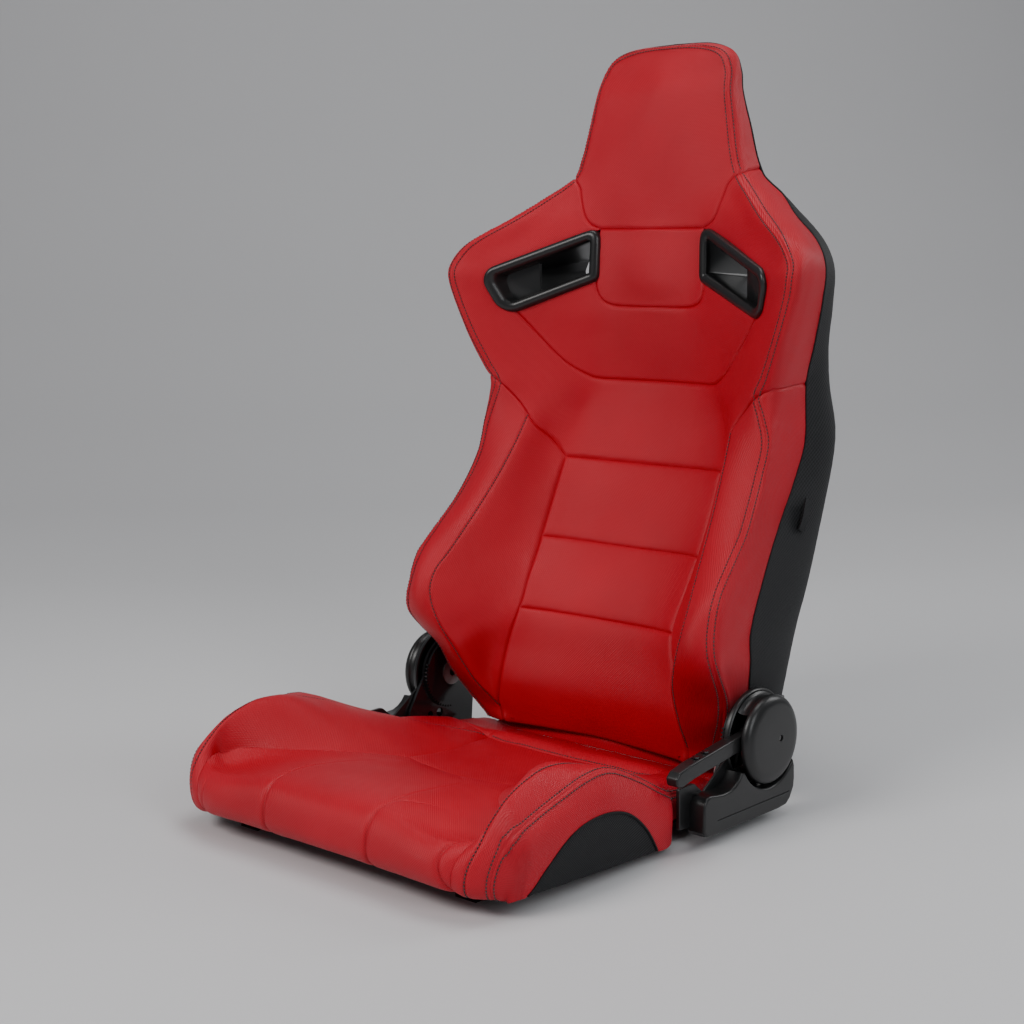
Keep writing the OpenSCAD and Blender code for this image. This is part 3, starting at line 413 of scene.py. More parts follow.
def panel(name, surf, group, outline, seams=(), thick=9.0, pitch=6.0, flip=1.0, keep=None,
          holes=()):
    """Closed pad on a surface.

    outline is a list of (line, kind) that meet end to end, and seams a list of (line, kind, strength).
    """
    edge, edge_lines = [], []
    for line, kind in outline:
        pts = spaced(line, 4.0)
        edge.append(pts[:-1])
        edge_lines.append((pts, kind))
    edge = np.concatenate(edge)
    inner = [(spaced(l, 3.5), kind, strength) for l, kind, strength in seams]
    holes = [spaced(np.array(list(h) + [h[0]]), 4.0)[:-1] for h in holes]
    edge_lines += [(np.concatenate([h, h[:1]]), "rim") for h in holes]
    everything = [p for p, _ in edge_lines] + [p for p, _, _ in inner]
    rows = []
    for p, _ in edge_lines:
        for o in (1.3, 2.8, 4.6, 7.2):
            for side in (1, -1):
                rows.append((beside(p, side * o), o))
    for p, kind, _ in inner:
        for o in ((1.2, 2.6, 4.2, 5.8, 8.2) if kind == "double" else (1.2, 2.6, 4.6, 7.2)):
            for side in (1, -1):
                rows.append((beside(p, side * o), o))
    lo, hi = edge.min(0), edge.max(0)
    xs = np.arange(lo[0], hi[0] + pitch, pitch)
    ys = np.arange(lo[1], hi[1] + pitch, pitch * 0.87)
    lattice = np.array([[x + (pitch / 2 if k % 2 else 0), y] for k, y in enumerate(ys) for x in xs])
    candidates = np.concatenate([r for r, _ in rows] + [lattice])
    need = np.concatenate([np.full(len(r), o * 0.93) for r, o in rows] + [np.full(len(lattice), 9.5)])
    ok = inside(candidates, edge)
    for h in holes:
        ok &= ~inside(candidates, h)
    candidates, need = candidates[ok], need[ok]
    ok = nearest(candidates, everything) >= need
    candidates = candidates[ok]
    used, chosen = {}, []
    fixed = [edge] + [p for p, _, _ in inner]
    for q in np.concatenate(fixed):
        used.setdefault((int(q[0] // 1.0), int(q[1] // 1.0)), []).append(q)
    for q in candidates:
        cell = (int(q[0] // 1.0), int(q[1] // 1.0))
        near = [r for a in (-1, 0, 1) for b in (-1, 0, 1) for r in used.get((cell[0] + a, cell[1] + b), ())]
        if all((q[0] - r[0]) ** 2 + (q[1] - r[1]) ** 2 > 0.8 for r in near):
            chosen.append(q)
            used.setdefault(cell, []).append(q)
    points = [edge]
    links = [(i, (i + 1) % len(edge)) for i in range(len(edge))]
    n = len(edge)
    for p, _, _ in inner:
        good = inside(p, edge)
        points.append(p)
        links += [(n + i, n + i + 1) for i in range(len(p) - 1) if good[i] and good[i + 1]]
        n += len(p)
    for h in holes:
        points.append(h)
        links += [(n + i, n + (i + 1) % len(h)) for i in range(len(h))]
        n += len(h)
    points.append(np.array(chosen).reshape(-1, 2))
    flat = np.concatenate(points)
    verts, _, faces, _, _, _ = delaunay_2d_cdt([Vector(p) for p in flat.tolist()], links,
                                               [list(range(len(edge)))], 1, 1e-4)
    sw = np.array([[v.x, v.y] for v in verts])
    tris = [tuple(f) for f in faces]
    if holes:
        middle = np.array([sw[list(f)].mean(0) for f in tris])
        out_of = np.all([~inside(middle, h) for h in holes], axis=0)
        tris = [f for f, good in zip(tris, out_of) if good]
    used_v = sorted({i for f in tris for i in f})
    remap = {v: k for k, v in enumerate(used_v)}
    sw = sw[used_v]
    tris = [tuple(remap[i] for i in f) for f in tris]
    p, nrm = surf.at(sw), surf.normal(sw) * flip
    dip = np.zeros(len(sw))
    kinds = {}
    for line, kind in edge_lines:
        kinds.setdefault(kind, []).append(line)
    parts = np.array([RELIEF[kind](nearest(sw, lines)) for kind, lines in kinds.items() if kind in RELIEF])
    if len(parts):
        low = parts.min(0)
        dip += np.where(low < 0, low, np.minimum(parts.max(0), parts.sum(0)))
    for line, kind, strength in inner:
        d = nearest(sw, [line])
        if callable(strength):
            j = np.array([np.argmin(((line - q) ** 2).sum(1)) for q in sw])
            k = strength(j / (len(line) - 1))
        else:
            k = strength
        dip += RELIEF[kind](d) * k
    d_all = nearest(sw, everything)
    calm = np.clip(d_all / 12, 0, 1)
    seed = sum(map(ord, name)) % 97
    dip += calm * (0.45 * wobble(sw, 70, seed) + 0.22 * wobble(sw, 26, seed + 1))
    near_seam = np.exp(-d_all / 9) * np.clip(d_all / 2.5, 0, 1)
    dip += near_seam * 0.35 * wobble(sw, 9, seed + 2)
    kept = keep(sw, p) if keep else np.zeros(len(sw))
    dip += kept
    top = p + nrm * dip[:, None]
    under = p + nrm * (kept - thick)[:, None]
    count = {}
    for f in tris:
        for k in range(3):
            e = (f[k], f[(k + 1) % 3])
            count[tuple(sorted(e))] = count.get(tuple(sorted(e)), []) + [e]
    rim = [v[0] for v in count.values() if len(v) == 1]
    m = len(sw)
    area = np.array([(sw[f[1]][0] - sw[f[0]][0]) * (sw[f[2]][1] - sw[f[0]][1]) - (sw[f[2]][0] - sw[f[0]][0])
                     * (sw[f[1]][1] - sw[f[0]][1]) for f in tris])
    if area.sum() * flip < 0:
        tris = [f[::-1] for f in tris]
        rim = [(b, a) for a, b in rim]
    all_faces = tris + [tuple(m + i for i in f[::-1]) for f in tris] + [(b, a, m + a, m + b) for a, b in rim]
    obj = new_object(name, np.concatenate([top, under]), all_faces)
    mesh = obj.data
    set_uv(mesh, np.concatenate([sw, sw]))
    smooth(mesh)
    rim_set = {tuple(sorted(e)) for e in rim}
    sharp = mesh.attributes.new("sharp_edge", "BOOLEAN", "EDGE")
    ends = np.zeros(len(mesh.edges) * 2, np.int32)
    mesh.edges.foreach_get("vertices", ends)
    ends = ends.reshape(-1, 2)
    sharp.data.foreach_set("value", np.array([(min(a, b), max(a, b)) in rim_set for a, b in ends], bool))
    sheets.append((obj, group, len(fronts[group]), tris, d_all))
    fronts[group].append((sw, top, nrm))
    return obj


def with_mirror(half):
    """Closed outline from the right half, which starts and ends on the middle line."""
    return list(half) + [(mirror_line(l), k) for l, k in half[::-1]]


def handed(sign, half):
    """A side's outline from the right half, and the function that brings a line to that side."""
    turn = (lambda l: l) if sign > 0 else mirror_line
    return [(turn(l), k) for l, k in (half if sign > 0 else half[::-1])], turn


# ---------- seam lines, as [s, w] ----------

S, B = back, base


def seam(surf, line, n=6):
    """Smooth line [s, w] through points [x, w]."""
    return surf.seen(catmull(line, n))


crease_l = seam(S, [[0, 705], [42, 705], [84, 705]])
neck_l = seam(S, [[84, 705], [103, 716], [114, 740], [121, 760], [133, 772]])
neck_side = np.array([neck_l[-1], [S.s_at(4.0, 776), 776], [S.s_at(5.0, 779), 779]])
lens_l = seam(S, [[0, 603], [45, 603.5], [67, 605.5], [81, 613], [88, 628], [88, 645]])
lens_side = seam(S, [[88, 645], [86, 675], [84, 705]])
yoke_l = seam(S, [[0, 505], [60, 505], [93, 506], [108, 511], [133, 528], [164, 560], [190, 590], [199, 600]])
guide_low = seam(S, [[88, 645], [145, 621], [199, 600]])
guide_out = seam(S, [[84, 705], [150, 679], [216, 652], [222, 636], [210, 608], [199, 600]], 3)
bolster_l = seam(S, [[130, 401], [150, 431], [169, 460], [190, 483], [211, 501], [235, 511]])
bolster_side = np.array([bolster_l[-1], [S.s_at(4.4, 513), 513], [S.s_at(5.0, 514), 514]])
u_foot = float(S.u_of(*[np.array([v]) for v in S.seen([[158, 50]])[0]])[0])
pad_l = join(S.along(u_foot, 22, 50),
             seam(S, [[158, 50], [158, 68], [150, 107], [142, 149], [127, 208], [128, 250], [130, 298],
                      [131, 350], [130, 401]]))


def pad_at(w):
    return [float(np.interp(w, pad_l[:, 1], pad_l[:, 0])), w]


def cut_line(line, lo, hi):
    """Part of a line between two values of w, ends included."""
    ends = [[float(np.interp(w, line[:, 1], line[:, 0])), w] for w in (lo, hi)]
    return np.array(ends[:1] + [p for p in line.tolist() if lo + 1 < p[1] < hi - 1] + ends[1:])


def across_pad(w, sag=0.0):
    end = pad_at(w)
    return np.array([[t * end[0], w - sag * (1 - t * t)] for t in np.linspace(0, 1, 30)])


double_low = S.along(3, BACK_FOOT, 512)
double_wing = S.along(3, 505, 773)
head_seam = join(S.along(3, 774, 905), catmull([[S.s_at(u, w), w] for u, w in
                 [(3, 905), (2.95, 924), (2.7, 938), (2.1, 948), (1.3, 953), (0.6, 955), (0, 955)]], 6))
head_top = S.along(5, 779, BACK_TOP)
head_close = np.array([head_top[-1], [0, BACK_TOP]])
wing_edge = S.along(5, 514, 779)
bolster_edge = S.along(5, 514, BACK_FOOT)

panels = {}
panels["headrest"] = panel("leather_headrest", S, "back", with_mirror(
    [(crease_l, "join"), (neck_l, "join"), (neck_side, "join"), (head_top, "rim"), (head_close, "rim")]),
    [(join(head_seam, mirror_line(head_seam)), "double", 1.0)])
panels["neck"] = panel("leather_neck_pad", S, "back", with_mirror(
    [(lens_l, "join"), (lens_side, "rim"), (crease_l[::-1], "join")]))
panels["upper"] = panel("leather_upper_back", S, "back", with_mirror(
    [(yoke_l, "join"), (guide_low[::-1], "rim"), (lens_l[::-1], "join")]))
panels["yoke"] = panel("leather_yoke", S, "back", with_mirror(
    [(across_pad(401, 3), "join"), (bolster_l, "join"), (bolster_side, "join"), (wing_edge, "rim"),
     (neck_side[::-1], "join"), (neck_l[::-1], "join"), (guide_out, "rim"), (yoke_l[::-1], "join")]),
    [(double_wing, "double", 1.0), (mirror_line(double_wing), "double", 1.0)])
for name, lo, hi in (("lumbar_upper", 298, 401), ("lumbar_middle", 208, 298)):
    panels[name] = panel("leather_" + name, S, "back", with_mirror(
        [(across_pad(lo, 3), "join"), (cut_line(pad_l, lo, hi), "join"), (across_pad(hi, 3)[::-1], "join")]))
bottom_l = np.array([[0, BACK_FOOT], pad_l[0]])
panels["lumbar_lower"] = panel("leather_lumbar_lower", S, "back", with_mirror(
    [(bottom_l, "none"), (cut_line(pad_l, BACK_FOOT, 208), "join"), (across_pad(208, 3)[::-1], "join")]))
bottom_r = np.array([bolster_edge[-1], pad_l[0]])
half = [(pad_l, "join"), (bolster_l, "join"), (bolster_side, "join"), (bolster_edge, "rim"),
        (bottom_r, "none")]
crest_l = S.along(2, 66, 462)
for side, sign in SIDES:
    outline, turn = handed(sign, half)
    panels["bolster_" + side] = panel("leather_bolster_" + side, S, "back", outline,
                                      [(turn(double_low), "double", 1.0), (turn(crest_l), "single", 1.0)])

foot_l = join(seam(B, [[90, -32], [110, -70], [140, -115], [172, -150], [214, -193], [225.5, -214]]),
              B.along(2, -216, -330))
insert_l = seam(B, [[138, 165], [118, 110], [98, 60], [92, 0], [90, -32]])
roll_back = seam(B, [[0, -32], [45, -32], [90, -32]])
roll_low = np.array([foot_l[-1], [0, -330]])
rear_cut = seam(B, [[0, 165], [70, 165], [138, 165]])
rear_out = np.array([rear_cut[-1], [B.s_at(6.0, 165), 165]])
gusset = seam(B, [[224, -215], [206, -232], [197, -252], [194, -274], [201, -302], [213, -328]])
crease_r = B.along(1, -329, -62)
pleat = seam(B, [[87, -222], [100, -212], [118, -200], [132, -193]])
panels["front_roll"] = panel("leather_front_roll", B, "base", with_mirror(
    [(roll_back, "fold"), (foot_l, "fold"), (roll_low, "none")]),
    [(crease_r, "pleat", lambda t: np.clip(1.15 - 1.2 * t, 0, 1)),
     (mirror_line(crease_r)[::-1], "pleat", lambda t: np.clip(1.1 - 1.2 * t, 0, 1)),
     (gusset, "pleat", 1.0), (mirror_line(gusset), "pleat", lambda t: 0.5 * np.clip(2 - 3 * t, 0, 1)),
     (pleat, "pleat", lambda t: np.clip(0.9 - t, 0, 1))], thick=4.0)
panels["insert"] = panel("leather_insert", B, "base", with_mirror(
    [(roll_back, "fold"), (insert_l[::-1], "fold"), (rear_cut[::-1], "join")]), thick=4.0)
rear_end = B.along(6, 165, 238)
rear_back = np.array([rear_end[-1], [0, 238]])
tail = seam(B, [[141, 166], [141, 190], [141, 236]])
panels["rear_strip"] = panel("leather_rear_strip", B, "base", with_mirror(
    [(rear_cut, "join"), (rear_out, "join"), (rear_end, "none"), (rear_back, "none")]),
    [(tail, "crease", 0.7), (mirror_line(tail), "crease", 0.7)], thick=4.0,
    keep=lambda sw, p: -np.maximum(1.2 * np.clip((sw[:, 1] - 190) / 12, 0, 1),
                                   np.clip(STRIP_REACH - np.hypot(p[:, 1] - AY, p[:, 2] - AZ), 0, 9)
                                   * np.clip((np.abs(p[:, 0]) - 145) / 35, 0, 1)))
arch_points = catmull([[-204, 20], [-192, 27], [-176, 43], [-150, 67], [-122, 79], [-87, 82], [-58, 77],
                       [-34, 65], [-10, 45], [8, 24], [17, 10]], 5)
arch_l = np.concatenate([B.seen([[z, y] for y, z in arch_points[1:-1]], axis=2, u_from=4.0)])
arch_l = np.concatenate([[[B.s_at(6.0, -204), -204]], arch_l, [[B.s_at(6.0, 17), 17]]])
half = [(insert_l, "fold"), (foot_l, "fold"), (np.array([foot_l[-1], [B.s_at(6.0, -330), -330]]), "none"),
        (B.along(6, -330, -204), "none"), (arch_l, "rim"), (B.along(6, 17, 165), "none"),
        (rear_out[::-1], "join")]
crest_b = join(B.along(3, -330, 120), seam(B, [[163, 122], [151, 146], [141, 164]]))
double_b = B.along(4, -330, 120)
for side, sign in SIDES:
    outline, turn = handed(sign, half)
    panels["thigh_" + side] = panel("leather_thigh_" + side, B, "base", outline,
                                    [(turn(double_b), "double", 1.0), (turn(crest_b), "single", 1.0)],
                                    thick=4.0)


# ---------- cloth simulation: the panels swell between the seams that hold them ----------

def swell(frames=12, pressure=3.0, cap=3.5, rounds=14, base_share=0.55, pinned=3.0):
    """Runs the leather's front sheets as cloth held at its seams.

    The panels move by the result, smoothed over some rounds and at most cap mm. Pins let go over the
    pinned mm beside a seam, and the base takes a share of the swell only.
    """
    verts, faces, held, start = [], [], [], []
    for obj, group, k, tris, d in sheets:
        top = fronts[group][k][1]
        n = sum(len(v) for v in verts)
        start.append(n)
        verts.append(top)
        faces += [tuple(i + n for i in f) for f in tris]
        held.append(np.clip(1.0 - d / pinned, 0, 1))
    co, held = np.concatenate(verts), np.concatenate(held)
    run = new_object("cloth_run", co, faces)
    mesh = run.data
    pins = run.vertex_groups.new(name="seams")
    for level in (1.0, 0.75, 0.5, 0.25):
        ids = np.nonzero((held > level - 0.25) & (held <= level) if level < 1 else held > 0.75)[0]
        pins.add(ids.tolist(), level, "REPLACE")
    cloth = run.modifiers.new("cloth", "CLOTH")
    c = cloth.settings
    c.quality, c.mass = 5, 0.15
    c.tension_stiffness = c.compression_stiffness = 18
    c.shear_stiffness, c.bending_stiffness = 12, 4.0
    c.tension_damping = c.compression_damping = 12
    c.use_pressure, c.uniform_pressure_force = True, pressure
    c.effector_weights.gravity = 0
    c.shrink_min = 0.006
    c.vertex_group_mass = "seams"
    cloth.collision_settings.use_collision = False
    cloth.point_cache.frame_start, cloth.point_cache.frame_end = 1, frames
    for f in range(1, frames + 1):
        bpy.context.scene.frame_set(f)
    done = run.evaluated_get(bpy.context.evaluated_depsgraph_get())
    out = np.empty(len(co) * 3)
    done.data.vertices.foreach_get("co", out)
    move = out.reshape(-1, 3) / MM - co
    bpy.data.objects.remove(run)
    bpy.data.meshes.remove(mesh)
    bpy.context.scene.frame_set(1)
    for (obj, group, k, tris, d), n in zip(sheets, start):
        sw, top, nrm = fronts[group][k]
        m = len(top)
        step = (move[n:n + m] * nrm).sum(1)
        pairs = np.array(sorted({tuple(sorted((f[i], f[(i + 1) % 3]))) for f in tris for i in range(3)}))
        a, b = np.concatenate([pairs, pairs[:, ::-1]]).T
        count = np.maximum(np.bincount(a, minlength=m), 1)
        for _ in range(rounds):
            step = 0.4 * step + 0.6 * np.bincount(a, weights=step[b], minlength=m) / count
            step = step * np.clip(d / pinned, 0, 1)
        step = cap * np.tanh(step / cap)
        # nothing within 80 mm of the hinge axis, all of it beyond 100 mm
        free = np.clip(np.hypot(top[:, 1] - AY, top[:, 2] - AZ) / 20 - 4, 0, 1)[:, None]
        free = free * (1 if group == "back" else base_share)
        new = top + nrm * step[:, None] * free
        fronts[group][k] = (sw, new, nrm)
        all_co = np.empty(len(obj.data.vertices) * 3)
        obj.data.vertices.foreach_get("co", all_co)
        all_co = all_co.reshape(-1, 3)
        all_co[:m] = new * MM
        obj.data.vertices.foreach_set("co", all_co.ravel())
        obj.data.update()


swell()


# ---------- materials ----------

def new_material(name):
    m = bpy.data.materials.new(name)
    m.use_nodes = True
    return m, Nodes(m.node_tree), m.node_tree.nodes["Principled BSDF"]


class Nodes:
    """Small helper to wire shader nodes."""

    def __init__(self, tree):
        self.t = tree

    def add(self, kind, **props):
        n = self.t.nodes.new(kind)
        for k, v in props.items():
            setattr(n, k, v)
        return n

    def plug(self, socket, value):
        if hasattr(value, "is_output"):
            self.t.links.new(value, socket)
        elif value is not None:
            socket.default_value = value

    def math(self, op, a, b=None, c=None, clamp=False):
        n = self.add("ShaderNodeMath", operation=op, use_clamp=clamp)
        for s, v in zip(n.inputs, (a, b, c)):
            self.plug(s, v)
        return n.outputs[0]

    def noise(self, scale, vector=None, detail=3.0, rough=0.55):
        n = self.add("ShaderNodeTexNoise")
        n.inputs["Scale"].default_value = scale
        n.inputs["Detail"].default_value = detail
        n.inputs["Roughness"].default_value = rough
        self.plug(n.inputs["Vector"], vector)
        return n.outputs["Fac"]

    def ramp(self, value, a, b, lo=0.0, hi=1.0):
        n = self.add("ShaderNodeMapRange")
        for k, v in (("Value", value), ("From Min", lo), ("From Max", hi), ("To Min", a), ("To Max", b)):
            self.plug(n.inputs[k], v)
        return n.outputs[0]

    def mix(self, factor, a, b):
        n = self.add("ShaderNodeMix", data_type="RGBA")
        self.plug(n.inputs["Factor"], factor)
        self.plug(n.inputs["A"], a)
        self.plug(n.inputs["B"], b)
        return n.outputs["Result"]

    def bump(self, height, strength, distance, normal=None):
        n = self.add("ShaderNodeBump")
        n.inputs["Strength"].default_value = strength
        n.inputs["Distance"].default_value = distance
        self.plug(n.inputs["Height"], height)
        self.plug(n.inputs["Normal"], normal)
        return n.outputs[0]

    def position(self):
        return self.add("ShaderNodeTexCoord").outputs["Object"]


def weave_nodes(k, pitch, slant=0.5):
    """Diagonal weave from the UV map, which is in units of 100 mm. Returns height, and v in mm."""
    uv = k.add("ShaderNodeUVMap", uv_map="UVMap").outputs[0]
    sep = k.add("ShaderNodeSeparateXYZ")
    k.plug(sep.inputs[0], uv)
    u = k.math("MULTIPLY", sep.outputs[0], 100.0)
    v = k.math("MULTIPLY", sep.outputs[1], 100.0)
    turns = 6.28318 / (pitch * 1.414)  # radians for each mm of u + v
    a = k.math("MULTIPLY", k.math("ADD", u, v), turns)
    b = k.math("MULTIPLY", k.math("SUBTRACT", u, v), turns)
    ridge = k.math("SINE", a)
    step = k.math("SINE", k.math("MULTIPLY_ADD", ridge, 0.6, b))
    height = k.math("ADD", k.math("MULTIPLY", ridge, 1 - slant), k.math("MULTIPLY", step, slant))
    return k.math("MULTIPLY_ADD", height, 0.5, 0.5), v


def make_leather():
    m, k, bsdf = new_material("red_leatherette")
    height, _ = weave_nodes(k, 2.1, 0.35)
    pos = k.position()
    broad, fine = k.noise(6.0, pos, 2.0), k.noise(900.0, pos, 4.0, 0.6)
    colour = k.mix(k.ramp(broad, 0.0, 1.0, 0.3, 0.7), (0.50, 0.003, 0.016, 1), (0.60, 0.005, 0.022, 1))
    # painted shade: the leather's colour is pulled towards a deep red where the weave is low, as shade in its
    # hollows
    colour = k.mix(k.math("MULTIPLY", k.math("SUBTRACT", 1.0, height), 0.45), colour, (0.22, 0.001, 0.006, 1))
    k.plug(bsdf.inputs["Base Color"], colour)
    wear = k.noise(14.0, pos, 3.0)
    rough = k.math("ADD", k.ramp(wear, 0.36, 0.48, 0.3, 0.7), k.ramp(fine, -0.04, 0.05))
    k.plug(bsdf.inputs["Roughness"], rough)
    bsdf.inputs["IOR"].default_value = 1.46
    bsdf.inputs["Specular IOR Level"].default_value = 0.36
    n1 = k.bump(height, 0.75, 0.0005)
    n2 = k.bump(fine, 0.12, 0.0003, n1)
    n3 = k.bump(k.noise(45.0, pos, 3.0), 0.10, 0.0025, n2)
    k.plug(bsdf.inputs["Normal"], n3)
    return m


def make_cloth(name, pitch, dark, light, rough=0.8, split=None):
    m, k, bsdf = new_material(name)
    height, v = weave_nodes(k, pitch, 0.3)
    if split:
        fine, _ = weave_nodes(k, pitch * 0.5, 0.5)
        blend = k.ramp(k.math("ADD", v, k.ramp(k.noise(9.0, k.position()), -25.0, 25.0)), 0.0, 1.0,
                       split - 25, split + 25)
        blend = k.math("MULTIPLY", blend, 1.0, clamp=True)
        height = k.math("ADD", k.math("MULTIPLY", height, blend),
                        k.math("MULTIPLY", fine, k.math("SUBTRACT", 1.0, blend)))
    speck = k.noise(1500.0, k.position(), 2.0)
    # painted highlight and shade: the weave's ridges take the light colour and its valleys the dark one,
    # while the fine speck adds random tone
    value = k.math("ADD", height, k.ramp(speck, -0.25, 0.25), clamp=True)
    k.plug(bsdf.inputs["Base Color"], k.mix(value, dark, light))
    k.plug(bsdf.inputs["Roughness"], k.ramp(speck, rough - 0.08, rough + 0.08))
    bsdf.inputs["Specular IOR Level"].default_value = 0.3
    k.plug(bsdf.inputs["Normal"], k.bump(speck, 0.3, 0.0003, k.bump(height, 0.6, 0.0008)))
    return m


def make_plastic():
    m, k, bsdf = new_material("satin_black_plastic")
    pos = k.position()
    grain = k.noise(1400.0, pos, 3.0, 0.6)
    broad = k.noise(18.0, pos, 3.0)
    k.plug(bsdf.inputs["Base Color"], k.mix(broad, (0.007, 0.0072, 0.0076, 1), (0.012, 0.0122, 0.0126, 1)))
    k.plug(bsdf.inputs["Roughness"], k.math("ADD", k.ramp(broad, 0.30, 0.38), k.ramp(grain, -0.05, 0.05)))
    k.plug(bsdf.inputs["Normal"], k.bump(grain, 0.16, 0.0002))
    return m


def make_gloss():
    m, k, bsdf = new_material("gloss_black_steel")
    pos = k.position()
    broad = k.noise(30.0, pos, 4.0)
    k.plug(bsdf.inputs["Base Color"], k.mix(broad, (0.006, 0.006, 0.007, 1), (0.012, 0.012, 0.013, 1)))
    k.plug(bsdf.inputs["Roughness"], k.ramp(k.noise(120.0, pos, 3.0), 0.14, 0.26))
    bsdf.inputs["Coat Weight"].default_value = 0.6
    bsdf.inputs["Coat Roughness"].default_value = 0.08
    k.plug(bsdf.inputs["Normal"], k.bump(k.noise(260.0, pos, 2.0), 0.06, 0.0004))
    return m


def make_zinc():
    m, k, bsdf = new_material("zinc_plated_steel")
    pos = k.position()
    mapping = k.add("ShaderNodeMapping")
    k.plug(mapping.inputs["Vector"], pos)
    mapping.inputs["Scale"].default_value = (1, 60, 60)
    brushed = k.noise(40.0, mapping.outputs[0], 4.0)
    k.plug(bsdf.inputs["Base Color"], k.mix(k.noise(35.0, pos), (0.50, 0.50, 0.51, 1), (0.66, 0.65, 0.63, 1)))
    bsdf.inputs["Metallic"].default_value = 1.0
    k.plug(bsdf.inputs["Roughness"], k.ramp(brushed, 0.24, 0.42))
    k.plug(bsdf.inputs["Normal"], k.bump(brushed, 0.15, 0.0002))
    return m


def make_thread():
    m, k, bsdf = new_material("black_thread")
    twist = k.noise(2600.0, k.position(), 2.0)
    k.plug(bsdf.inputs["Base Color"], k.mix(twist, (0.004, 0.002, 0.002, 1), (0.016, 0.006, 0.007, 1)))
    bsdf.inputs["Roughness"].default_value = 0.6
    bsdf.inputs["Sheen Weight"].default_value = 0.3
    k.plug(bsdf.inputs["Normal"], k.bump(twist, 0.3, 0.0002))
    return m


leather = make_leather()
# each cloth's dark and light colours are the painted shade of its weave's valleys and the painted highlight
# of its ridges
cover_cloth = make_cloth("black_twill", 4.0, (0.0015, 0.0015, 0.002, 1), (0.022, 0.023, 0.025, 1), 0.62,
                         split=330.0)
arch_plain = make_cloth("black_binding", 1.4, (0.002, 0.002, 0.0025, 1), (0.014, 0.014, 0.015, 1), 0.7)
arch_cloth = make_cloth("black_mesh", 2.6, (0.0015, 0.0015, 0.002, 1), (0.018, 0.019, 0.021, 1), 0.66)
plastic, gloss, zinc, thread = make_plastic(), make_gloss(), make_zinc(), make_thread()
SLOTS = {"leather_red": leather, "woven_black": arch_cloth, "plastic_black": plastic, "steel_black": gloss,
         "steel_plain": zinc}
slot_of = {s["node"]: s["material_slot"] for s in frame["record"]["subparts"]}
for name, obj in frame["nodes"].items():
    obj.data.materials.clear()
    obj.data.materials.append(SLOTS[slot_of[name]])


# ---------- makers of visible pieces ----------

def add_mesh(name, verts, faces, material, body, slot=None, angle=None):
    """Smooth visible piece that rides on a body."""
    obj = new_object(name, verts, [tuple(int(i) for i in f) for f in faces])
    obj.data.materials.append(material)
    smooth(obj.data)
    if angle is not None:
        obj.data.set_sharp_from_angle(angle=math.radians(angle))
    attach(obj, body)
    return obj


def skin(rings, closed_ring=True, cap=True):
    """Vertices and faces of a skin through rings of points that all have the same count."""
    n, m = len(rings[0]), len(rings)
    verts = np.concatenate(rings)
    faces = [(i * n + j, i * n + (j + 1) % n, (i + 1) * n + (j + 1) % n, (i + 1) * n + j)
             for i in range(m - 1) for j in range(n if closed_ring else n - 1)]
    if cap:
        faces += [tuple(range(n))[::-1], tuple((m - 1) * n + j for j in range(n))]
    return verts, faces


def outward(obj):
    """Makes a closed mesh's faces point outwards."""
    bm = bmesh.new()
    bm.from_mesh(obj.data)
    bmesh.ops.recalc_face_normals(bm, faces=bm.faces)
    bm.to_mesh(obj.data)
    bm.free()
    return obj


def bevelled(name, outline, x0, x1, bevel, material, body, slot, segments=4, mirror=False):
    """Plate with rounded edges: an outline [y, z] from x0 to x1."""
    bm = bmesh.new()
    pts = [bm.verts.new((x0 * MM, y * MM, z * MM)) for y, z in outline]
    face = bm.faces.new(pts)
    out = bmesh.ops.extrude_face_region(bm, geom=[face])
    for v in out["geom"]:
        if isinstance(v, bmesh.types.BMVert):
            v.co.x = x1 * MM
    bmesh.ops.recalc_face_normals(bm, faces=bm.faces)
    edges = [e for e in bm.edges if abs(e.verts[0].co.x - e.verts[1].co.x) < 1e-6]
    bmesh.ops.bevel(bm, geom=edges, offset=bevel * MM, segments=segments, profile=0.6, affect="EDGES",
                    clamp_overlap=True)
    if mirror:
        for v in bm.verts:
            v.co.x *= -1
        bmesh.ops.reverse_faces(bm, faces=bm.faces)
    mesh = bpy.data.meshes.new(name)
    bm.to_mesh(mesh)
    bm.free()
    mesh.materials.append(material)
    smooth(mesh)
    mesh.set_sharp_from_angle(angle=math.radians(40))
    obj = bpy.data.objects.new(name, mesh)
    bpy.context.scene.collection.objects.link(obj)
    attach(obj, body)
    return obj


# ---------- the upholstery rides on its bodies and stands for its CAD nodes ----------

STANDS = {
    "headrest": ("backrest", ["headrest_pad"]), "neck": ("backrest", ["neck_pad"]),
    "upper": ("backrest", ["upper_back_pad"]),
    "yoke": ("backrest", ["middle_back_pad", "shoulder_wing_left", "shoulder_wing_right"]),
    "lumbar_upper": ("backrest", ["lumbar_pad_upper"]), "lumbar_middle": ("backrest", ["lumbar_pad_middle"]),
    "lumbar_lower": ("backrest", ["lumbar_pad_lower"]),
    "bolster_right": ("backrest", ["back_bolster_right"]),
    "bolster_left": ("backrest", ["back_bolster_left"]),
    "front_roll": ("base", ["front_roll"]), "insert": ("base", ["seat_insert_pad"]),
    "rear_strip": ("base", ["seat_rear_strip"]), "thigh_right": ("base", ["thigh_bolster_right"]),
    "thigh_left": ("base", ["thigh_bolster_left"]),
}
for key, (body, nodes) in STANDS.items():
    obj = panels[key]
    obj.data.materials.append(leather)
    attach(obj, body)
    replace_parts(obj, *nodes)


# ---------- stitches: short threads laid along the seams ----------

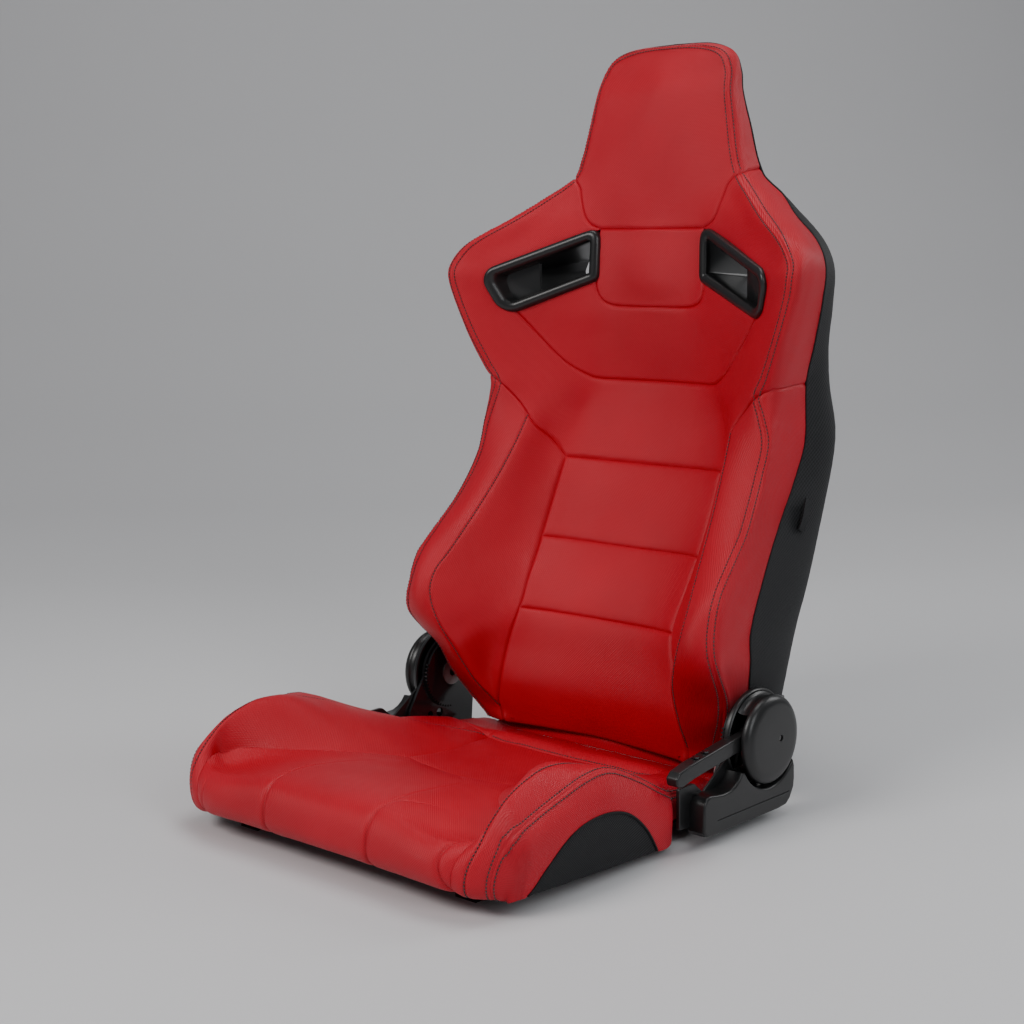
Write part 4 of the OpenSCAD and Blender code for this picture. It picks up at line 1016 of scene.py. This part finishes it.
def stitch_run(group, line, offset, pitch=4.4, length=3.4, width=1.5, trim=3.0):
    """Centre, direction, side and normal of every stitch beside a seam line."""
    sw, top, nrm = (np.concatenate([f[i] for f in fronts[group]]) for i in range(3))
    line = spaced(beside(spaced(line, 2.0), offset) if offset else line, 1.0)
    if group not in trees:
        trees[group] = kdtree.KDTree(len(sw))
        for i, q in enumerate(sw):
            trees[group].insert((q[0], q[1], 0), i)
        trees[group].balance()
    surf = back if group == "back" else base
    pts, ns = [], []
    for q, p, n in zip(line, surf.at(line), surf.normal(line)):
        near = trees[group].find_n((q[0], q[1], 0), 5)
        w = np.array([1 / (d + 0.3) ** 2 for _, _, d in near])
        ids = [i for _, i, _ in near]
        lift = ((top[ids] - plain_of[group][ids]) * nrm[ids]).sum(1)
        pts.append(p + n * (lift * w).sum() / w.sum())
        ns.append(n)
    pts, ns = np.array(pts), np.array(ns)
    run = np.concatenate([[0], np.cumsum(np.linalg.norm(np.diff(pts, axis=0), axis=1))])
    count = int((run[-1] - 2 * trim) / pitch)
    out = []
    for j in range(count + 1):
        a = trim + j * pitch
        c = np.array([np.interp([a - length / 2, a, a + length / 2], run, pts[:, k]) for k in range(3)]).T
        n = np.array([np.interp(a, run, ns[:, k]) for k in range(3)])
        n /= np.linalg.norm(n)
        d = c[2] - c[0]
        if np.linalg.norm(d) < 0.5:
            continue
        d /= np.linalg.norm(d)
        out.append((c, d, np.cross(n, d), n, width, length))
    return out


def threads(name, body, runs):
    """One piece made of all the stitches in the runs."""
    verts, faces = [], []
    ring = [(math.cos(a), math.sin(a)) for a in np.arange(6) * math.pi / 3]
    for run in runs:
        for c, d, side, n, width, length in run:
            first = len(verts)
            for t, size in ((-0.5, 0.25), (-0.38, 0.85), (0.0, 1.0), (0.38, 0.85), (0.5, 0.25)):
                mid = c[1] + d * length * t + n * (0.6 - 4.0 * abs(t) ** 3)
                verts += [mid + side * width / 2 * size * x + n * width / 2.4 * size * y for x, y in ring]
            for i in range(4):
                faces += [(first + i * 6 + j, first + i * 6 + (j + 1) % 6, first + (i + 1) * 6 + (j + 1) % 6,
                           first + (i + 1) * 6 + j) for j in range(6)]
            faces += [tuple(first + j for j in range(6))[::-1], tuple(first + 24 + j for j in range(6))]
    return add_mesh(name, verts, faces, thread, body, slot="leather_red")


trees = {}
plain_of = {g: np.concatenate([(back if g == "back" else base).at(f[0]) for f in fronts[g]]) for g in fronts}


def both_ways(group, line, offsets):
    """Stitches beside a line and beside its mirror image."""
    runs = []
    for o in offsets:
        runs.append(stitch_run(group, line, o))
        runs.append(stitch_run(group, mirror_line(line)[::-1], -o))
    return runs


threads("stitches_headrest", "backrest",
        [stitch_run("back", join(head_seam, mirror_line(head_seam)), o) for o in TWIN])
threads("stitches_wings", "backrest", both_ways("back", double_wing, TWIN))
threads("stitches_back_bolsters", "backrest",
        both_ways("back", double_low, TWIN) + both_ways("back", crest_l, (0.0,)))
threads("stitches_thighs", "base",
        both_ways("base", double_b, TWIN) + both_ways("base", crest_b, (0.0,)))
threads("stitches_rear_strip", "base",
        [stitch_run("base", join(rear_cut, rear_out[:1]) + [0, 3.2], 0.0),
         stitch_run("base", mirror_line(rear_cut)[::-1] + [0, 3.2], 0.0)])


# ---------- rear cover ----------

def fillet(points, radii, steps=5):
    """Closed outline through corner points, each rounded to its radius, with steps + 1 points per corner."""
    p = np.array(points, float)
    out = []
    for i in range(len(p)):
        a, b, c = p[i - 1], p[i], p[(i + 1) % len(p)]
        u, v = (a - b) / np.linalg.norm(a - b), (c - b) / np.linalg.norm(c - b)
        half = math.acos(max(-1, min(1, float(u @ v)))) / 2
        r = max(radii[i] if hasattr(radii, "__len__") else radii, 0.3)
        cut = min(r / math.tan(half), 0.48 * np.linalg.norm(a - b), 0.48 * np.linalg.norm(c - b))
        for t in np.linspace(0, 1, steps + 1):
            q0, q1 = b + u * cut * (1 - t), b + v * cut * t
            out.append((1 - t) * q0 + t * q1)
    return np.array(out)


def inset(points, d):
    """Outline with every side moved inwards by d."""
    p = np.array(points, float)
    area = (p[:, 0] * np.roll(p[:, 1], -1) - np.roll(p[:, 0], -1) * p[:, 1]).sum()
    out = []
    for i in range(len(p)):
        a, b, c = p[i - 1], p[i], p[(i + 1) % len(p)]
        u, v = (b - a) / np.linalg.norm(b - a), (c - b) / np.linalg.norm(c - b)
        n0, n1 = np.array([-u[1], u[0]]), np.array([-v[1], v[0]])
        if area < 0:
            n0, n1 = -n0, -n1
        m = n0 + n1
        out.append(b + m * d / max(m @ n0, 0.35))
    return np.array(out)


guide_front = np.array([[86, 705], [87, 641], [199, 598], [214, 606], [227, 636], [222, 652]], float)
guide_rear = np.array([[92, 694], [92, 640], [150, 618], [166, 628], [172, 650], [164, 668]], float)


def toward(points, d):
    v = points - points.mean(0)
    return points - v * d / np.linalg.norm(v, axis=1, keepdims=True)


def duct(front, forward, rear, y):
    """Outline at depth y of a straight funnel from the wing's plane to y = 470."""
    yf = 376 - 0.47 * front[:, 0] - forward
    t = ((y - yf) / (470 - yf))[:, None]
    return front * (1 - t) + rear * t


shell_hole = duct(toward(guide_front, 6), 4, toward(guide_rear, -0.5), 418.0)
hole_sw = shell.seen(fillet(shell_hole, 8), 0, 0.0, 1.0)
notch = shell.seen([[292, 95.5], [291, 116], [286, 130], [271, 137], [258, 130], [253, 116], [252, 95.5]], 1,
                   1.0, 2.0)
fronts["cover"] = []
cover_seam_r = np.stack([shell.s_of(np.full(60, 0.97), np.linspace(98, 930, 60)), np.linspace(98, 930, 60)],
                        axis=1)
half = [(np.array([[0, COVER_FOOT], notch[0]]), "rim"), (notch, "rim"),
        (np.array([notch[-1], [shell.s_at(2.0, COVER_FOOT), COVER_FOOT]]), "rim"),
        (shell.along(2, COVER_FOOT, BACK_TOP), "rim"),
        (np.array([[shell.s_at(2.0, BACK_TOP), BACK_TOP], [0, BACK_TOP]]), "rim")]
cover_obj = panel("cloth_rear_cover", shell, "cover", with_mirror(half),
                  [(cover_seam_r, "single", 0.8), (mirror_line(cover_seam_r), "single", 0.8)],
                  thick=2.6, pitch=9.0, flip=-1.0, holes=[hole_sw, mirror_line(hole_sw)])
cover_obj.data.materials.append(cover_cloth)
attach(cover_obj, "backrest")
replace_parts(cover_obj, "rear_cover")


# ---------- harness guides: a rounded bezel on the leather and a duct through the backrest ----------

def y_on(surf, xz, **kw):
    sw = surf.seen(xz, 0, **kw)
    return surf.at(sw)[:, 1]


def harness_guide(name, sign):
    corner = [13, 10, 20, 18, 20, 26]
    rings = []
    for d, h in ((-4.0, -4), (-4.0, 0.5), (-3.4, 3.4), (-1.6, 5.4), (1.2, 6.4), (4.4, 6.2), (7.2, 4.8),
                 (9.2, 2.4), (10.2, -1), (10.8, -6)):
        flat = fillet(inset(guide_front, d), [max(r - d, 2.0) for r in corner])
        y = y_on(back, flat) - h
        rings.append(np.stack([flat[:, 0], y, flat[:, 1]], axis=1))
    inner_front = rings[-1]
    inner = fillet(duct(toward(guide_front, 10), 60, toward(guide_rear, 4.5), 417.0), [5, 6, 9, 9, 9, 10])
    end_y = y_on(shell, inner, u_from=0.0, u_to=1.0)
    end = np.stack([inner[:, 0], end_y + 1.0, inner[:, 1]], axis=1)
    for t in (0.12, 0.35, 0.65, 0.9):
        rings.append(inner_front * (1 - t) + end * t)
    rings.append(end)
    rear_corners = duct(toward(guide_front, 6), 4, toward(guide_rear, 0), 418.0)
    for d, h in ((1.5, 3.2), (-1.5, 3.6), (-4.5, 2.6), (-5.5, 0.6), (-5.2, -2.0), (-0.3, -6.0)):
        flat = fillet(inset(rear_corners, d), [max(8 - d, 2)] * 6)
        y = y_on(shell, flat, u_from=0.0, u_to=1.0) + h
        rings.append(np.stack([flat[:, 0], y, flat[:, 1]], axis=1))
    outer_front = fillet(inset(guide_front, 6.5), [max(r - 6.5, 2.0) for r in corner])
    y = y_on(back, outer_front) + 6
    rings.append(np.stack([outer_front[:, 0], y, outer_front[:, 1]], axis=1))
    rings.append(rings[0] + [0, 2.5, 0])
    verts, faces = skin(rings, cap=False)
    n, m = len(rings[0]), len(rings)
    faces += [((m - 1) * n + j, (m - 1) * n + (j + 1) % n, (j + 1) % n, j) for j in range(n)]
    # flat blank panel that closes the outer third
    shelf = fillet([[170, 617.5], [196, 607.5], [208, 612], [216.5, 636], [212, 645.5], [170, 662]],
                   [3, 10, 8, 8, 8, 3])
    ys = y_on(back, shelf).mean() + (shelf[:, 0] - shelf[:, 0].mean()) * -0.47
    k = len(verts)
    layers = [(1.5, 13.0), (0.0, 14.0), (0.0, 18.0)]
    more = []
    for d, depth in layers:
        flat = shelf + (shelf.mean(0) - shelf) * d / 25
        more.append(np.stack([flat[:, 0], ys + depth, flat[:, 1]], axis=1))
    v2, f2 = skin(more)
    verts = np.concatenate([verts, v2]) * [sign, 1, 1]
    faces += [tuple(i + k for i in f) for f in f2]
    obj = add_mesh(name, verts, faces, plastic, "backrest", slot="plastic_black", angle=50)
    outward(obj)
    return obj


for side, sign in SIDES:
    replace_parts(harness_guide("guide_bezel_" + side, sign), "harness_guide_" + side)


# ---------- fabric sheets, piping, side arches ----------

def cloth_sheet(name, grid, thick, material, body=None):
    """Thin closed cloth through a grid of points [row, column, xyz]."""
    g = np.array(grid, float)
    du, dv = np.gradient(g, axis=1), np.gradient(g, axis=0)
    n = np.cross(du, dv)
    n /= np.maximum(np.linalg.norm(n, axis=2, keepdims=True), 1e-9)
    r, c = g.shape[:2]
    verts = np.concatenate([(g + n * thick / 2).reshape(-1, 3), (g - n * thick / 2).reshape(-1, 3)])
    k = r * c
    at = lambda i, j: i * c + j
    faces = []
    for i in range(r - 1):
        for j in range(c - 1):
            faces.append((at(i, j), at(i, j + 1), at(i + 1, j + 1), at(i + 1, j)))
            faces.append((k + at(i, j), k + at(i + 1, j), k + at(i + 1, j + 1), k + at(i, j + 1)))
    border = ([(at(0, j), at(0, j + 1)) for j in range(c - 1)]
              + [(at(i, c - 1), at(i + 1, c - 1)) for i in range(r - 1)]
              + [(at(r - 1, j + 1), at(r - 1, j)) for j in range(c - 1)]
              + [(at(i + 1, 0), at(i, 0)) for i in range(r - 1)])
    faces += [(b, a, k + a, k + b) for a, b in border]
    across = np.concatenate([[0], np.cumsum(np.linalg.norm(np.diff(g[r // 2], axis=0), axis=1))])
    down = np.concatenate([[0], np.cumsum(np.linalg.norm(np.diff(g[:, c // 2], axis=0), axis=1))])
    obj = new_object(name, verts, faces)
    flat = np.array([[across[j], down[i]] for i in range(r) for j in range(c)])
    set_uv(obj.data, np.concatenate([flat, flat]))
    smooth(obj.data)
    obj.data.materials.append(material)
    outward(obj)
    obj.data.set_sharp_from_angle(angle=math.radians(50))
    if body:
        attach(obj, body)
    return obj


def bead(points, radius, normals, sides=8):
    """Rings of a round cord along points."""
    p = np.array(points, float)
    t = np.gradient(p, axis=0)
    t /= np.linalg.norm(t, axis=1, keepdims=True)
    rings = []
    for i in range(len(p)):
        a = np.cross(t[i], normals[i])
        a /= max(np.linalg.norm(a), 1e-9)
        b = np.cross(t[i], a)
        rings.append([p[i] + radius * (a * math.cos(q) + b * math.sin(q))
                      for q in np.arange(sides) * 2 * math.pi / sides])
    return [np.array(r) for r in rings]


def cords(name, lines, radius, material, body, slot_name, lift=0.0):
    verts, faces = [], []
    for surf, line in lines:
        line = spaced(line, 3.5)
        n = surf.normal(line)
        v, f = skin(bead(surf.at(line) + n * lift, radius, n))
        k = sum(len(x) for x in verts)
        verts.append(v)
        faces += [tuple(i + k for i in q) for q in f]
    obj = add_mesh(name, np.concatenate(verts), faces, material, body, slot=slot_name)
    return outward(obj)


edge_r = S.along(5, 26, BACK_TOP)
cords("piping_back", [(back, join(edge_r, mirror_line(edge_r)))], 1.5, arch_plain, "backrest", "woven_black",
      lift=-0.7)

for side, sign in SIDES:
    outline, _ = handed(sign, [(arch_l, "rim"), (B.along(6, 17, -204), "rim")])
    arch = panel("cloth_arch_" + side, B, "base", outline, thick=3.0, pitch=7.0,
                 keep=lambda sw, p: np.full(len(sw), -0.4))
    arch.data.materials.append(arch_cloth)
    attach(arch, "base")
    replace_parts(arch, "side_arch_" + side)
cords("piping_arches", [(base, arch_l[1:-1]), (base, mirror_line(arch_l[1:-1]))], 1.3, arch_plain, "base",
      "woven_black", lift=-0.5)

# sewn tab in the right side seam
rows = []
for t in np.linspace(0, 1, 13):
    rows.append([[245.2 + 1.5 * math.sin(math.pi * t) + 0.5 * math.sin(6 * t), 318 + 12 * q + 16.3 * t,
                  338 + 36.5 * t - 4.9 * q] for q in np.linspace(0, 1, 6)])
tab = cloth_sheet("cloth_side_tab", rows, 1.8, arch_cloth, "backrest")
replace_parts(tab, "side_tab")


# ---------- undersides ----------

def lower_edge():
    """Lower edge of the backrest's leather, as points, from the middle to the rear cover's corner."""
    a = S.at(np.stack([np.linspace(0, S.s_at(5.0, 22) - 0.5, 26), np.full(26, 22.5)], axis=1))
    b = S.at(S.along(5, 26, COVER_FOOT, 8.0) - [0.5, 0])
    return np.concatenate([a, b])


front_edge = lower_edge()
corner, end = shell.s_at(1.0, COVER_FOOT), shell.s_at(2.0, COVER_FOOT) - 1
rear_s = np.concatenate([np.linspace(0, corner, 26), np.linspace(corner, end, len(front_edge) - 26)])
rear_edge = shell.at(np.stack([rear_s, np.full(len(rear_s), 96.0)], axis=1))
rows = []
for t in np.linspace(0, 1, 12):
    line = front_edge * (1 - t) + rear_edge * t
    gap = np.clip(np.linalg.norm(rear_edge - front_edge, axis=1) / 60, 0, 1)[:, None]
    line = line + np.array([0, -4, 13]) * math.sin(math.pi * t) ** 0.8 * gap
    line[:, 2] += 1.2 * (1 - t)
    rows.append(line)
grid = np.array(rows)
left = grid[:, 1:][:, ::-1] * [-1, 1, 1]
cloth_sheet("cloth_back_underside", np.concatenate([left, grid], axis=1), 1.6, arch_cloth, "backrest")

rows = []
for x in np.linspace(-226, 226, 40):
    rows.append([[x * (0.985 if y > 60 else 1.0) * (0.93 if y < -215 else 1.0), y,
                  27.6 + 0.5 * math.sin(x * 0.05) * math.sin(y * 0.04)] for y in np.linspace(-238, 236, 40)])
cloth_sheet("cloth_base_underside", rows, 1.4, arch_cloth, "base")

rows = []
for t in np.linspace(0, 1, 10):
    y, z = 229 + 15 * t, 34.0 + 18.5 * t
    rows.append([[x, y + 5.5 * math.sin(math.pi * t), z - 1.5 * math.sin(math.pi * t)]
                 for x in np.linspace(-186, 186, 50)])
flap = cloth_sheet("leather_rear_flap", rows, 1.2, leather)
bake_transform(flap)


# ---------- recliner: caps, boots and lever ----------

def lathe(name, profile, a0, a1, sign, material, body, slot_name, steps=96, closed=True):
    """Ring turned about the hinge axis from a profile of [r, x], between two angles in degrees."""
    full = abs(a1 - a0) >= 360
    n = int(steps * abs(a1 - a0) / 360)
    rings = []
    for k in range(n if full else n + 1):
        a = math.radians(a0 + (a1 - a0) * k / n)
        rings.append(np.array([[x * sign, AY + r * math.cos(a), AZ + r * math.sin(a)] for r, x in profile]))
    verts, faces = skin(rings, closed_ring=closed, cap=not full)
    if full:
        m, c = len(rings), len(profile)
        faces += [((m - 1) * c + j, (m - 1) * c + (j + 1) % c, (j + 1) % c, j) for j in range(c)]
    obj = add_mesh(name, verts, faces, material, body, slot=slot_name)
    bm = bmesh.new()
    bm.from_mesh(obj.data)
    bmesh.ops.remove_doubles(bm, verts=bm.verts, dist=1e-6)
    bmesh.ops.dissolve_degenerate(bm, edges=bm.edges, dist=1e-6)
    bmesh.ops.recalc_face_normals(bm, faces=bm.faces)
    bm.to_mesh(obj.data)
    bm.free()
    obj.data.set_sharp_from_angle(angle=math.radians(42))
    return obj


def cut(obj, cutter):
    """Takes the cutter away from obj."""
    m = obj.modifiers.new("cut", "BOOLEAN")
    m.operation, m.solver, m.object = "DIFFERENCE", "EXACT", cutter
    bpy.context.view_layer.update()
    done = bpy.data.meshes.new_from_object(obj.evaluated_get(bpy.context.evaluated_depsgraph_get()))
    obj.modifiers.remove(m)
    old = obj.data
    obj.data = done
    bpy.data.meshes.remove(old)
    bpy.data.objects.remove(cutter)
    smooth(done)
    done.set_sharp_from_angle(angle=math.radians(40))


def fuse(name, objs):
    """Joins objects into the first one."""
    bm = bmesh.new()
    for o in objs:
        bm.from_mesh(o.data)
    keep, rest = objs[0], objs[1:]
    bm.to_mesh(keep.data)
    bm.free()
    for o in rest:
        bpy.data.objects.remove(o)
    keep.name = name
    keep.data.set_sharp_from_angle(angle=math.radians(42))
    return keep


def prism(first, last):
    """Solid to cut with, between two outlines of [x, y, z]."""
    n = len(first)
    faces = [tuple(range(n)), tuple(range(n, 2 * n))[::-1]]
    faces += [(k, (k + 1) % n, n + (k + 1) % n, n + k) for k in range(n)]
    return outward(new_object("cutter", list(first) + list(last), faces))


def raw_plate(outline, x0, x1):
    """Solid to cut with, from an outline [y, z] and two values of x."""
    return prism([(x0, y, z) for y, z in outline], [(x1, y, z) for y, z in outline])


def circle(y, z, r, n):
    return [[y + r * math.cos(a), z + r * math.sin(a)] for a in np.arange(n) * 2 * math.pi / n]


def arc(r, a0, a1, step):
    """Points [y, z] on a circle about the hinge axis, at whole degrees from a0 and below a1."""
    return [[AY + r * math.cos(math.radians(a)), AZ + r * math.sin(math.radians(a))]
            for a in range(a0, a1, step)]


ON_BASE = (plastic, "base", "plastic_black")
ON_LEVER = (plastic, "release", "plastic_black")
FACE = [(0.0, 290.3), (20.0, 290.3), (40.0, 290.1), (44.5, 289.7), (48.0, 288.6), (50.8, 286.9),
        (52.8, 284.6), (53.9, 281.8), (54.0, 279.2),
        (53.3, 277.6), (47.6, 277.2), (47.3, 283.0), (44.0, 286.8), (20.0, 287.0), (0.0, 287.0)]
NECK = [(53.2, 278.2), (52.2, 276.6), (51.1, 274.6), (50.5, 272.2), (50.5, 269.6), (51.2, 267.2),
        (52.6, 265.2), (54.9, 263.6),
        (54.9, 262.5), (52.0, 262.8), (49.4, 265.2), (48.0, 268.0), (47.6, 271.0), (47.6, 278.0)]
RING = [(58.9, MOULD_X), (58.9, 260.4), (58.2, 262.4), (56.9, 263.3), (55.6, 263.0), (55.1, 261.6),
        (55.1, MOULD_X)]
BOOT_OUTER = ([[75, 20], [75, 52], [80, 59.5], [88, 62], [100, 60], [114, 58.4], [127, 59.2], [136, 62.5],
               [143.5, 68], [149, 75]]
              + arc(59.2, 210, 325, 6)
              + [[258, 60], [258.5, 44], [257, 33], [249, 20], [241, 14.2], [226, 13], [92, 13], [80, 14.5]])
for side, sign in SIDES:
    cap_parts = [lathe("cap", FACE, 0, 360, sign, *ON_BASE)]
    cut(cap_parts[0], raw_plate(circle(219, 103, 4.0, 28), 285.4 * sign, 295 * sign))
    span = (212, 496) if sign > 0 else (0, 360)
    cap_parts.append(lathe("neck", NECK, *span, sign, *ON_BASE))
    cap = fuse("cap_" + side, cap_parts)
    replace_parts(cap, "recliner_cap_" + side)
    body = bevelled("boot_body", BOOT_OUTER, MOULD_X, 284, 4.6, *ON_BASE, segments=5, mirror=sign < 0)
    cavity = [[79, 24], [79, 54], [100, 55], [127, 55], [143, 62], [149, 68], [156, 66], [180, 48], [208, 40],
              [236, 48], [252, 58], [253, 34], [238, 18], [92, 17]]
    cut(body, raw_plate(cavity, 250 * sign, 279.5 * sign))
    cut(body, raw_plate([[100, 29.4], [246, 29.4], [246, 30.5], [100, 30.5]], 283.0 * sign, 286 * sign))
    front = bevelled("boot_front",
                     fillet(np.array([[56, 24], [56, 74], [84, 74], [102, 59], [102, 24]]), [4, 4, 8, 8, 4],
                            3).tolist(), MOULD_X, 262.4, 1.2,
                     *ON_BASE, segments=3, mirror=sign < 0)
    web = bevelled("web", [[100, 50], [104, 58], [150, 88]] + arc(58.4, 196, 222, 4) + [[158, 50]], MOULD_X,
                   260.2, 0.8, *ON_BASE, segments=2, mirror=sign < 0)
    ring = lathe("ring", RING, 290, 574, sign, *ON_BASE)
    boot = fuse("boot_" + side, [body, front, web, ring])
    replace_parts(boot, "recliner_cover_" + side)

arm = bevelled("arm", [[182, 119.5], [158, 117], [120, 111.8], [96, 108.5], [96, 91.2], [150, 97.4],
                       [182, 92.5]], 264, 276, 1.8,
               *ON_LEVER, segments=4)
hub = lathe("hub", [(0, 264.2), (26.5, 264.2), (28, 265.5), (28, 274.7), (26.5, 276), (0, 276)], 0, 360, 1,
            *ON_LEVER, closed=False)
grip_line = fillet(np.array([[144, 115.4], [60, 104], [40, 99.2], [32.6, 92.5], [34.6, 83.4], [44, 80.8],
                             [66, 85.8], [120, 92.9], [144, 96.3]]), [4, 6, 6, 5, 5, 6, 10, 8, 4], 3)
grip = bevelled("grip", grip_line.tolist(), 260, 276.4, 3.2, *ON_LEVER, segments=6)
for y, z in ((78, 100.6), (96, 103.1)):  # pockets for the two screws
    cut(grip, prism(*[[(px, py, z + d) for px, py in circle(269, y, 4.9, 24)] for d in (4.4, 20)]))
lever = fuse("lever_body", [arm, hub, grip])
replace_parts(lever, "release_lever")
for node in ("lever_screws", "cap_screws"):
    frame["nodes"][node].data.materials.clear()
    frame["nodes"][node].data.materials.append(gloss)


# ---------- floor, light and camera ----------

def plain(name, colour, rough):
    m, _, bsdf = new_material(name)
    bsdf.inputs["Base Color"].default_value = colour
    bsdf.inputs["Roughness"].default_value = rough
    return m


def studio():
    floor_verts, floor_faces = [], []
    profile = [(-4.0, 0.0), (1.6, 0.0), (2.2, 0.04), (2.7, 0.2), (3.1, 0.5), (3.4, 1.0), (3.5, 1.7),
               (3.5, 4.0)]
    a = math.radians(42.5)
    for r, z in profile:
        for q in (-5.0, 5.0):
            floor_verts.append((-math.sin(a) * r + math.cos(a) * q, math.cos(a) * r + math.sin(a) * q, z))
    for i in range(len(profile) - 1):
        floor_faces.append((2 * i, 2 * i + 1, 2 * i + 3, 2 * i + 2))
    floor = new_object("floor", np.array(floor_verts) / MM, floor_faces)
    smooth(floor.data)
    floor.data.materials.append(plain("pale_floor", (0.66, 0.66, 0.67, 1), 0.6))

    def area(name, place, target, size, power, colour=(1, 1, 1)):
        light = bpy.data.lights.new(name, "AREA")
        light.shape, light.size, light.size_y = "RECTANGLE", size[0], size[1]
        light.energy, light.color = power, colour
        o = bpy.data.objects.new(name, light)
        o.location = place
        o.rotation_mode = "QUATERNION"
        o.rotation_quaternion = (Vector(target) - Vector(place)).to_track_quat("-Z", "Y")
        bpy.context.scene.collection.objects.link(o)

    area("key", (-0.6, -2.4, 2.3), (0, 0, 0.45), (1.6, 1.2), 58, (1.0, 0.98, 0.96))
    area("side", (2.4, -0.6, 1.5), (0.1, 0.1, 0.45), (0.9, 1.6), 22, (0.96, 0.98, 1.0))
    area("top", (0.1, 0.5, 2.9), (0, 0.1, 0.4), (1.8, 1.4), 28)
    area("rim", (1.2, 2.2, 1.6), (0.1, 0.3, 0.5), (0.8, 1.4), 18)
    world = bpy.data.worlds.new("studio")
    bpy.context.scene.world = world
    world.use_nodes = True
    bg = world.node_tree.nodes["Background"]
    bg.inputs["Color"].default_value = (0.92, 0.94, 1.0, 1)
    bg.inputs["Strength"].default_value = 0.17


studio()


def camera():
    data = bpy.data.cameras.new("camera")
    data.sensor_width, data.lens = 36.0, 63.66
    o = bpy.data.objects.new("camera", data)
    bpy.context.scene.collection.objects.link(o)
    turn, pitch, roll = (math.radians(v) for v in (42.537, 8.934, -0.776))
    b = Vector((math.sin(turn) * math.cos(pitch), -math.cos(turn) * math.cos(pitch), math.sin(pitch)))
    right = Vector((math.cos(turn), math.sin(turn), 0))
    up = b.cross(right)
    r = right * math.cos(roll) + up * math.sin(roll)
    u = up * math.cos(roll) - right * math.sin(roll)
    o.matrix_world = Matrix(((r.x, u.x, b.x, 1.4696), (r.y, u.y, b.y, -1.5357), (r.z, u.z, b.z, 0.709),
                             (0, 0, 0, 1)))
    bpy.context.scene.camera = o


camera()
